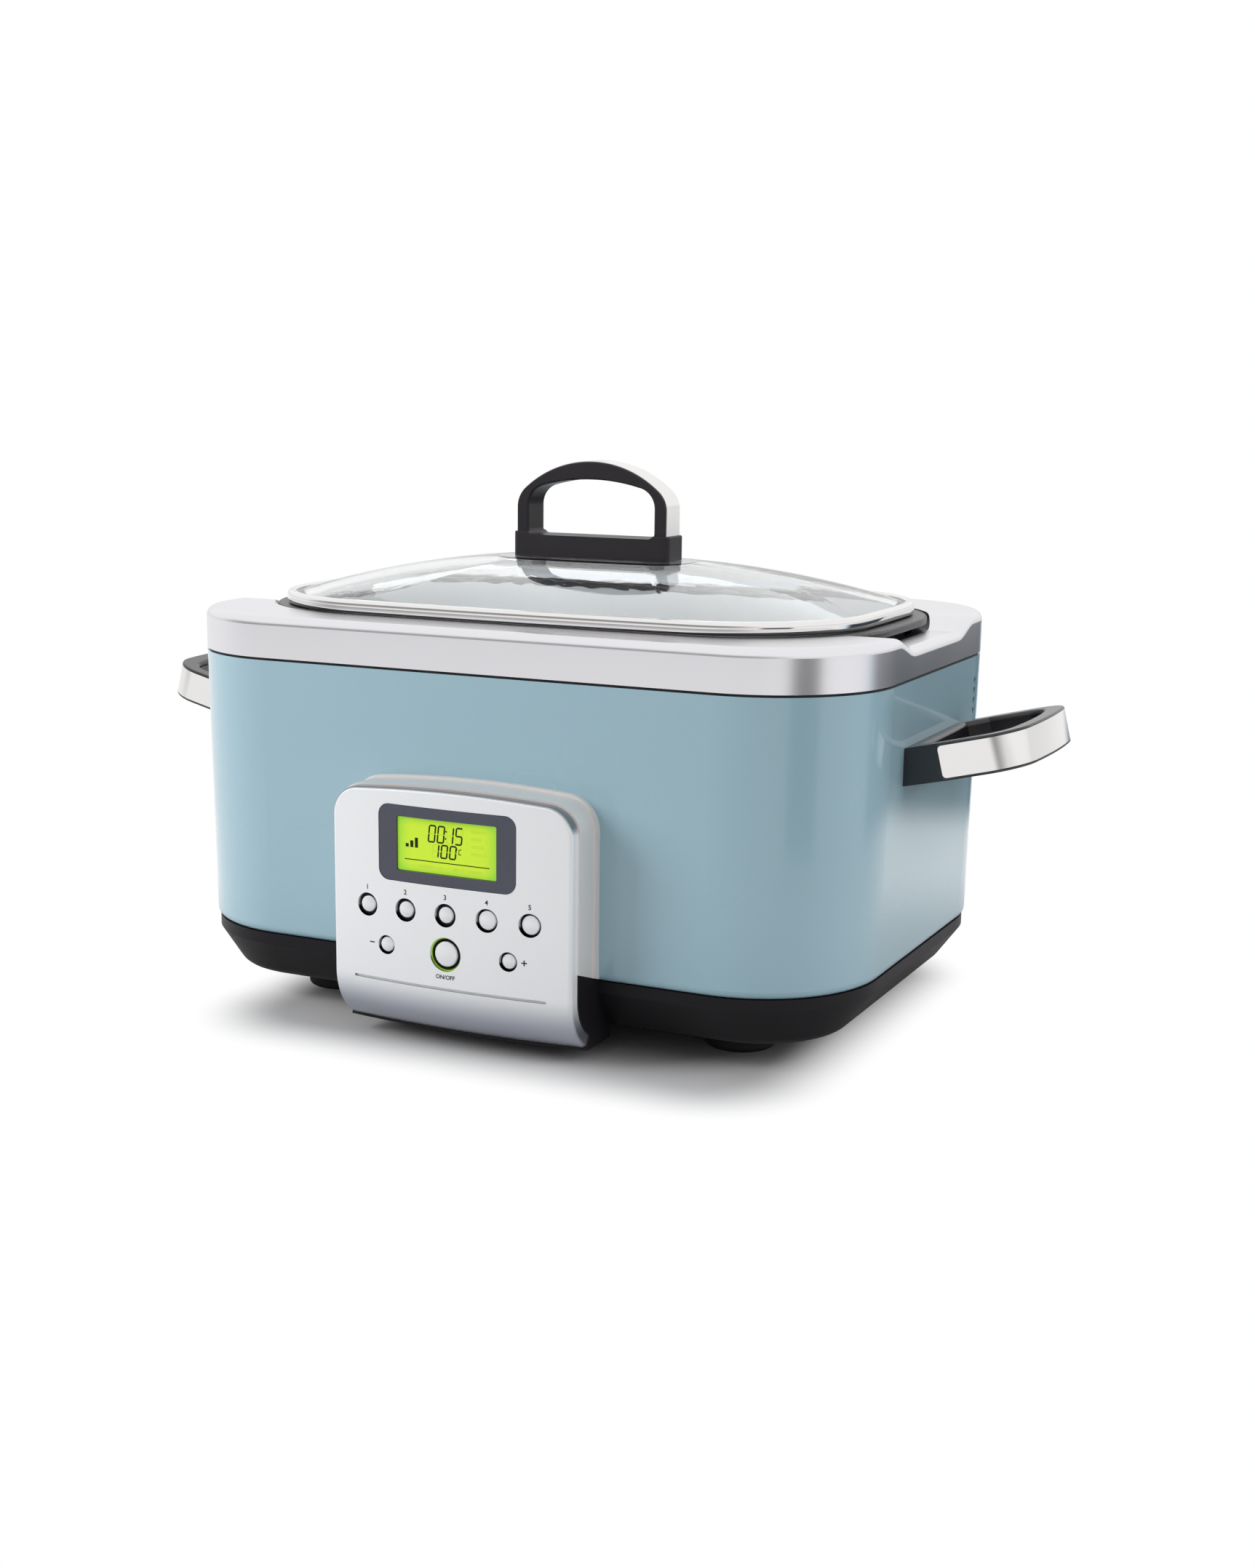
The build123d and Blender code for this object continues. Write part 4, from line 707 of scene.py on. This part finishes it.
class SLOWCOOKER_OT_buttons(bpy.types.Operator):
    """Crown the buttons' caps, with a dark ring round each, wider on the cooking-mode buttons:
    painted shade of the gap round the cap, and on the cooking-mode buttons also their unlit light
    ring
    """

    bl_idname = "slowcooker.buttons"
    bl_label = "Buttons"

    def execute(self, context):
        sizes, colours = context.scene.cooker_sizes, context.scene.cooker_colours
        # Dark material of the rings: painted shade of the gaps round the caps, and the unlit light
        # rings.
        dark = moulding("unlit_ring_and_gap_shade", colours.plastic, roughness=0.5, grain=0.3 * MM, gloss=0.15)
        for node in [name for name in frame["nodes"] if name.startswith("button_")]:
            silver = frame["nodes"][node].data.materials[0]
            ring = sizes.ring_width if node in MODE_BUTTONS else sizes.gap_width
            cap = self.turned(node, sizes, ring, silver)
            cap.data.materials.append(dark)
            self.darken_ring(cap.data, node, self.cap_radius(node) - ring)
            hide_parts(node)
        return {"FINISHED"}

    @staticmethod
    def darken_ring(mesh, node, bare):
        """Give the second, dark material, painted shade of the gap round the cap, to the faces
        further from the axis than the bare cap.
        """
        low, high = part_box(node)
        spare = 0.02 * MM
        middle = np.empty(len(mesh.polygons) * 3)
        mesh.polygons.foreach_get("center", middle)
        offset = middle.reshape(-1, 3) - (low + high) / 2
        outside = np.hypot(offset[:, 0], offset[:, 2]) > bare + spare
        mesh.polygons.foreach_set("material_index", outside.astype(np.int32))

    @staticmethod
    def cap_radius(node):
        """Radius of a button's cap: half its collar's width, less the collar's step."""
        low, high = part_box(node)
        return (high.x - low.x) / 2 - COLLAR_STEP

    def turned(self, node, sizes, ring, silver):
        """A button turned about its own axis from a profile of radius and depth.

        The cap's front is depth = crown (r / edge radius)^2, its edge a quarter circle; behind it
        come the ring's step, the collar and the stem."""
        low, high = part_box(node)
        radius, edge, crown = self.cap_radius(node), sizes.cap_edge, sizes.cap_crown
        bare = radius - ring
        front_steps, edge_steps, sides = 9, 8, 64
        across = np.linspace(0, bare - edge, front_steps)[1:]
        front = np.stack((across, crown * (across / (bare - edge))**2), axis=1)
        turn = np.linspace(0, math.pi / 2, edge_steps)[1:]
        rounding = np.stack(
            (bare - edge + edge * np.sin(turn), crown + edge * (1 - np.cos(turn))), axis=1,
        )
        step = crown + edge + RING_STEP
        shelf = np.array(((bare, step), (radius - RING_STEP, step), (radius, step + RING_STEP)))
        collar, behind = radius + COLLAR_STEP, sizes.cap_depth + COLLAR_DEPTH
        back = np.array((
            (radius, sizes.cap_depth), (collar, sizes.cap_depth), (collar, behind),
            (STEM_RADIUS, behind), (STEM_RADIUS, high.y - low.y),
        ))
        profile = np.concatenate((front, rounding, shelf, back))
        angle = np.linspace(0, 2 * math.pi, sides, endpoint=False)[None, :]
        middle = (low + high) / 2
        out, deep = profile[:, :1], profile[:, 1:]
        x = middle.x + out * np.cos(angle)
        z = middle.z + out * np.sin(angle)
        y = np.broadcast_to(low.y + deep, x.shape)
        rings = np.stack((x, y, z), axis=-1).reshape(-1, 3)
        poles = np.array(((middle.x, low.y, middle.z), (middle.x, high.y, middle.z)))
        quads = grid_faces(len(profile), sides, False, True)
        step_on = np.arange(sides)
        turn_on = (step_on + 1) % sides
        last = (len(profile) - 1) * sides
        front_pole = np.stack((step_on, turn_on, np.full(sides, len(rings))), axis=1)
        back_pole = np.stack(
            (last + turn_on, last + step_on, np.full(sides, len(rings) + 1)), axis=1,
        )
        points = np.concatenate((rings, poles))
        faces = quads[:, ::-1].tolist() + front_pole.tolist() + back_pole.tolist()
        cap = mesh_object(f"cap_{node}", points, faces, silver, node)
        smooth(cap)
        return cap


SEGMENTS = {
    "a": ((0, 1), (1, 1)), "b": ((1, 0.5), (1, 1)), "c": ((1, 0), (1, 0.5)), "d": ((0, 0), (1, 0)),
    "e": ((0, 0), (0, 0.5)), "f": ((0, 0.5), (0, 1)), "g": ((0, 0.5), (1, 0.5)),
}
FIGURES = {"0": "abcdef", "1": "bc", "5": "acdfg", "C": "adef"}


def bars(starts, ends, width, pointed):
    """Flat bars of a width from starts to ends in the plane, with pointed or square ends.

    Along the bar's own direction d and across it by n, an end's two corners are d w/2 in from it
    and n w/2 to each side. Between them is its tip, at the end itself where it is pointed."""
    along = ends - starts
    along = along / np.linalg.norm(along, axis=1, keepdims=True)
    across = np.stack((-along[:, 1], along[:, 0]), axis=1)
    half = width / 2
    tip = half if pointed else 0
    corners = [
        starts + along * (half - tip), starts + along * half - across * half,
        ends - along * half - across * half, ends - along * (half - tip),
        ends - along * half + across * half, starts + along * half + across * half,
    ]
    return np.stack(corners, axis=1)


def figure_bars(text, origin, size, gap, stroke, slant, lit):
    """Seven-segment figures: the lit segments of a text, or the unlit ones, as pointed bars.

    A segment's unit ends (u, v) go to (origin + u width + v height tan slant, origin + v height),
    and each figure stands one width and a gap to the right of the last."""
    width = size[0]
    ends = []
    for place, figure in enumerate(text):
        for name, segment in SEGMENTS.items():
            if (name in FIGURES[figure]) == lit:
                ends.append(np.array(segment) * size + (place * (width + gap), 0))
    ends = np.array(ends)
    ends[..., 0] += ends[..., 1] * math.tan(slant)
    ends += origin
    return bars(ends[:, 0], ends[:, 1], stroke, True)


def inked(name, outlines, level, depth, material):
    """Flat outlines in x and z, stood upright at a level in y to face the front, with a depth."""
    count, corners = outlines.shape[:2]
    points = np.insert(outlines.reshape(-1, 2), 1, level, axis=1)
    faces = np.arange(count * corners).reshape(count, corners)
    thicken(mesh_object(name, points, faces, material, "housing"), depth)


def thicken(piece, depth):
    """Give a flat piece its depth, forwards from where it lies."""
    wall = piece.modifiers.new("depth", "SOLIDIFY")
    wall.thickness = depth
    wall.offset = 1


class SLOWCOOKER_OT_display(bpy.types.Operator):
    """Set the display's figures and lines on its glass"""

    bl_idname = "slowcooker.display"
    bl_label = "Display"

    def execute(self, context):
        sizes, colours = context.scene.cooker_sizes, context.scene.cooker_colours
        ink = moulding("display_ink", colours.ink, roughness=0.6, grain=0.5 * MM, gloss=0.1)
        ghost = unlit_cells(tone(colours.display, 0.93), 0.58)
        low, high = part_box("display_bezel")
        middle = (0, (low.z + high.z) / 2)
        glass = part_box("lcd_module")[0].y
        lit, unlit = self.figures(sizes)
        lit = np.concatenate((lit, self.signs())) + middle
        unlit = np.concatenate((unlit, self.cells())) + middle
        inked("display_figures", lit, glass, sizes.ink_depth, ink)
        inked("display_unlit", unlit, glass, sizes.ink_depth / 2, ghost)
        return {"FINISHED"}

    @staticmethod
    def figures(sizes):
        """Lit and unlit segments of the time and the temperature, from the display's middle."""
        digit = sizes.digit_height
        tall = digit * np.array((0.42, 1.0))
        short, small = tall * (0.95, 0.78), tall * (0.42, 0.3)
        stroke, gap = 0.1 * digit, 0.2 * digit
        time = np.array((-10.2 * MM, 2.2 * MM))
        degrees = np.array((-8.1 * MM, -5.2 * MM))
        unit = np.array((6.6 * MM, -2.6 * MM))
        lit, unlit = [], []
        for text, origin, size in (("0015", time, tall), ("100", degrees, short)):
            shape = (origin, size, gap, stroke, sizes.digit_slant)
            lit.append(figure_bars(text, *shape, True))
            unlit.append(figure_bars(text, *shape, False))
        lit.append(figure_bars("C", unit, small, gap, 0.5 * stroke, sizes.digit_slant, True))
        colon = time + np.array(((9.6 * MM, 0.28 * digit), (9.9 * MM, 0.72 * digit)))
        degree = unit + np.array(((-0.9 * MM, small[1]),))
        for dots, width in ((colon, stroke), (degree, 0.6 * stroke)):
            lit.append(bars(dots - (width, 0), dots + (width, 0), width, False))
        return np.concatenate(lit), np.concatenate(unlit)

    @staticmethod
    def signs():
        """Three rising heat bars and the rule under the figures, from the display's middle."""
        heat_width, rule_width = 1.7 * MM, 0.45 * MM
        steps = np.arange(3)
        foot = MM * np.stack((-22.0 + 2.6 * steps, np.full(3, -2.4)), axis=1)
        rise = MM * np.stack((np.zeros(3), 3.4 + 1.6 * steps), axis=1)
        rule = MM * np.array(((-23.6, -7.6), (23.6, -7.6)))
        heat = bars(foot, foot + rise, heat_width, False)
        return np.concatenate((heat, bars(rule[:1], rule[1:], rule_width, False)))

    @staticmethod
    def cells():
        """Unlit word cells, four at the right and two along the foot, from the display's middle."""
        width = 1.5 * MM
        right = np.stack((np.full(4, 12.6), 9.4 - 3.7 * np.arange(4)), axis=1)
        foot = np.array(((-16.0, -10.4), (3.0, -10.4)))
        lengths = np.array((10.4, 7.2, 8.8, 10.0, 14.0, 17.0))
        starts = MM * np.concatenate((right, foot))
        ends = starts + MM * np.stack((lengths, np.zeros(len(lengths))), axis=1)
        return bars(starts, ends, width, False)


def lettering(name, text, height, centre, sizes, material):
    """Letters of a height printed on the bowed face about a centre in x and z.

    The flat letters go to y = front + r - sqrt(r^2 - x^2), the arc of the face seen from above."""
    curve = bpy.data.curves.new(name, "FONT")
    curve.body = text
    curve.size = height / CAPITAL_SHARE
    curve.offset = sizes.mark_weight
    curve.align_x, curve.align_y = "CENTER", "CENTER"
    drawing = bpy.data.objects.new(name, curve)
    flat = bpy.data.meshes.new_from_object(drawing)
    bpy.data.objects.remove(drawing)
    bpy.data.curves.remove(curve)
    points = np.empty(len(flat.vertices) * 3)
    flat.vertices.foreach_get("co", points)
    points = points.reshape(-1, 3)
    x, z = points[:, 0] + centre[0], points[:, 1] + centre[1]
    radius = sizes.face_bow
    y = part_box("panel_face")[0].y + radius - np.sqrt(radius**2 - x**2)
    flat.vertices.foreach_set("co", np.stack((x, y, z), axis=1).ravel())
    flat.materials.append(material)
    piece = bpy.data.objects.new(name, flat)
    bpy.context.scene.collection.objects.link(piece)
    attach(piece, "housing")
    thicken(piece, sizes.ink_depth)


class SLOWCOOKER_OT_marks(bpy.types.Operator):
    """Print the numbers and signs beside the buttons"""

    bl_idname = "slowcooker.marks"
    bl_label = "Marks"

    def execute(self, context):
        sizes, colours = context.scene.cooker_sizes, context.scene.cooker_colours
        grey = moulding("print_grey", colours.print_grey, roughness=0.6, grain=0.4 * MM, gloss=0.1)
        number_height = sizes.mark_height
        sign_height, word_height = 1.7 * number_height, 0.85 * number_height
        above, below = (0, 8.8 * MM), (0, -11.4 * MM)
        left, right = (-8.6 * MM, 0), (8.4 * MM, 0)
        marks = {f"button_{number}": (str(number), above, number_height) for number in range(1, 6)}
        marks["button_minus"] = ("\u2212", left, sign_height)
        marks["button_plus"] = ("+", right, sign_height)
        marks["button_start"] = ("ON/OFF", below, word_height)
        for node, (text, offset, height) in marks.items():
            low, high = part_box(node)
            middle = (low + high) / 2
            centre = (middle.x + offset[0], middle.z + offset[1])
            lettering(f"mark_{node}", text, height, centre, sizes, grey)
        return {"FINISHED"}


class SLOWCOOKER_OT_stage(bpy.types.Operator):
    """Lay the floor, hang the lights and set up the camera"""

    bl_idname = "slowcooker.stage"
    bl_label = "Stage"

    def execute(self, context):
        scene = context.scene
        scene.view_settings.view_transform = "Standard"
        self.lay_floor(scene)
        self.light_room(scene)
        self.set_camera(scene)
        return {"FINISHED"}

    def lay_floor(self, scene):
        """A disc of pale paper that keeps the real shadow close round the cooker's footprint. The
        paper is grey beside the white, so the zone where it shows is also painted shade: a box
        round the footprint, set a little forward.

        Away from that zone it turns plain white, to the eye and further off in reflections, which
        paints a dark reflection on the low parts that face the floor, and past that it is open on
        to the white room, so that no edge shows."""
        radius, sides = 1.6, 96
        shadow_zone_middle, shadow_zone_half = (12 * MM, -10 * MM, 0), (108 * MM, 100 * MM, 0)
        reach_share = (1, 0.95, 0)
        turn = np.linspace(0, 2 * np.pi, sides, endpoint=False)
        rim = np.stack((radius * np.cos(turn), radius * np.sin(turn), np.zeros(sides)), axis=1)
        mesh = bpy.data.meshes.new("floor")
        mesh.from_pydata(rim.tolist(), [], [list(range(sides))])
        floor = bpy.data.objects.new("floor", mesh)
        scene.collection.objects.link(floor)
        material, nodes = new_finish("pale_floor")
        mesh.materials.append(material)
        offset = nodes.vector("SUBTRACT", nodes.coordinates("Object"), shadow_zone_middle)
        past = nodes.vector("SUBTRACT", nodes.vector("ABSOLUTE", offset), shadow_zone_half)
        past = nodes.vector("MAXIMUM", past, (0, 0, 0))
        away = nodes.vector("LENGTH", past, out="Value")
        aside = nodes.vector("LENGTH", nodes.vector("MULTIPLY", past, reach_share), out="Value")
        # Painted shade: the grey paper shows close round this box to the eye, and out to a wider
        # reach in reflections, which paints a dark reflection on the low parts.
        seen = nodes.ramp(aside, start=20 * MM, end=70 * MM) * nodes.ray("Is Camera Ray")
        mirrored = nodes.ramp(aside, start=100 * MM, end=300 * MM) * nodes.ray("Is Glossy Ray")
        opening = nodes.ramp(away, start=400 * MM, end=550 * MM)
        paper = nodes.add("ShaderNodeBsdfDiffuse", {}, {"Color": rgba((0.6, 0.6, 0.61))})
        glow = nodes.add("ShaderNodeEmission", {}, {"Color": rgba((1, 1, 1)), "Strength": 1.0})
        clear = nodes.add("ShaderNodeBsdfTransparent")
        surface = nodes.add("ShaderNodeMixShader", {}, {0: seen + mirrored, 1: paper, 2: glow})
        surface = nodes.add("ShaderNodeMixShader", {}, {0: opening, 1: surface, 2: clear})
        nodes.add("ShaderNodeOutputMaterial", {}, {"Surface": surface})

    def light_room(self, scene):
        """White to the eye and through glass, and an even dim fill for diffuse light.

        Reflections see a white room with a dim wall behind the camera, a dark card low on the right
        and a wider one low behind it, and a cool tint round that last card. Bearings are in degrees
        from the right, and a height is the z of a direction."""
        world = bpy.data.worlds.new("studio")
        scene.world = world
        nodes = Nodes(world)
        direction = nodes.coordinates("Generated")
        height = nodes.axis(direction, "Z")
        heading = nodes.vector("NORMALIZE", nodes.vector("MULTIPLY", direction, (1, 1, 0)))

        def towards(bearing, near, far):
            """1 within an angle of a bearing, falling to 0 at a wider angle."""
            bearing, near, far = (math.radians(angle) for angle in (bearing, near, far))
            aim = (math.cos(bearing), math.sin(bearing), 0)
            facing = nodes.vector("DOT_PRODUCT", heading, aim, out="Value")
            return nodes.ramp(facing, math.cos(far), math.cos(near))

        def below(start, end):
            """1 below a height, falling to 0 at a greater one."""
            return 1 - nodes.ramp(height, start, end)

        wall = towards(-110, near=30, far=70) * nodes.ramp(height, -0.09, 0.0) * below(0.18, 0.4)
        right_card = towards(-34, near=8, far=16) * below(-0.045, -0.01)
        rear_card = towards(62, near=24, far=34) * below(-0.1, -0.06)
        horizon = nodes.ramp(height, -0.06, 0.02, low=0.95, high=0.85)
        ceiling = nodes.ramp(height, 0.08, 0.14, low=0.0, high=0.15)
        room = (horizon + ceiling) * (1 - 0.65 * wall)
        room = room * (1 - 0.92 * right_card) * (1 - 0.93 * rear_card)
        fill = 0.36
        clear = nodes.ray("Is Camera Ray") + nodes.ray("Is Transmission Ray")
        glossy = nodes.ray("Is Glossy Ray")
        strength = clear + (1 - clear) * (glossy * room + (1 - glossy) * fill)
        cool = glossy * towards(72, near=35, far=55) * below(-0.1, -0.07)
        tint = nodes.blend(cool, (1, 1, 1), (0.70, 0.86, 1.0))
        back = nodes.add("ShaderNodeBackground", {}, {"Color": tint, "Strength": strength})
        nodes.add("ShaderNodeOutputWorld", {}, {"Surface": back})
        self.hang_lamp(scene, "rear", place=(-0.4, 1.1, 1.5), size=1.5, power=12)
        self.hang_lamp(scene, "front", place=(-1.1, -0.9, 0.8), size=0.9, power=16)
        self.hang_lamp(scene, "side", place=(1.5, -0.2, 0.9), size=0.9, power=9)

    def hang_lamp(self, scene, name, place, size, power):
        """A square soft box that points at the middle of the cooker and shows in no reflection."""
        middle = Vector((0, 0, 120 * MM))
        lamp = bpy.data.lights.new(name, "AREA")
        lamp.size = size
        lamp.energy = power
        holder = bpy.data.objects.new(name, lamp)
        holder.location = place
        aim = middle - holder.location
        holder.rotation_mode = "QUATERNION"
        holder.rotation_quaternion = aim.to_track_quat("-Z", "Y")
        holder.visible_glossy = False
        scene.collection.objects.link(holder)

    def set_camera(self, scene):
        """Camera on a sphere round its target, rolled about its own axis.

        The optical centre is moved by the camera's shift."""
        view = scene.cooker_view
        level = math.cos(view.elevation)
        back = Vector((
            math.sin(view.azimuth) * level,
            -math.cos(view.azimuth) * level,
            math.sin(view.elevation),
        ))
        lens = bpy.data.cameras.new("camera")
        width, height = view.image
        long_side = max(width, height)
        lens.lens = view.focal / long_side * lens.sensor_width
        lens.shift_x = (width / 2 - view.centre[0]) / long_side
        lens.shift_y = (view.centre[1] - height / 2) / long_side
        lens.clip_start, lens.clip_end = 0.01, 50
        camera = bpy.data.objects.new("camera", lens)
        camera.location = Vector(view.target) + back * view.distance
        camera.rotation_mode = "QUATERNION"
        level_look = (-back).to_track_quat("-Z", "Y")
        camera.rotation_quaternion = level_look @ Quaternion((0, 0, 1), view.roll)
        scene.collection.objects.link(camera)
        scene.camera = camera


class SLOWCOOKER_PT_panel(bpy.types.Panel):
    """Sidebar panel with the cooker's values and steps"""

    bl_label = "Slow Cooker"
    bl_idname = "SLOWCOOKER_PT_panel"
    bl_space_type = "VIEW_3D"
    bl_region_type = "UI"
    bl_category = "Slow Cooker"

    def draw(self, context):
        for group in ("cooker_colours", "cooker_sizes", "cooker_view"):
            values = getattr(context.scene, group)
            for name in values.bl_rna.properties.keys():
                if name not in ("rna_type", "name"):
                    self.layout.prop(values, name)
        for step in STEPS:
            self.layout.operator(step.bl_idname)


GROUPS = {"cooker_colours": CookerColours, "cooker_sizes": CookerSizes, "cooker_view": StudioView}
STEPS = (
    SLOWCOOKER_OT_finishes, SLOWCOOKER_OT_lid_band, SLOWCOOKER_OT_buttons, SLOWCOOKER_OT_display,
    SLOWCOOKER_OT_marks, SLOWCOOKER_OT_stage,
)
CLASSES = (*GROUPS.values(), *STEPS, SLOWCOOKER_PT_panel)


def register():
    for cls in CLASSES:
        bpy.utils.register_class(cls)
    for name, group in GROUPS.items():
        setattr(bpy.types.Scene, name, bpy.props.PointerProperty(type=group))


def unregister():
    for name in GROUPS:
        delattr(bpy.types.Scene, name)
    for cls in reversed(CLASSES):
        bpy.utils.unregister_class(cls)


def main():
    register()
    bpy.ops.slowcooker.finishes()
    bpy.ops.slowcooker.lid_band()
    bpy.ops.slowcooker.buttons()
    bpy.ops.slowcooker.display()
    bpy.ops.slowcooker.marks()
    bpy.ops.slowcooker.stage()


if __name__ == "__main__":
    main()
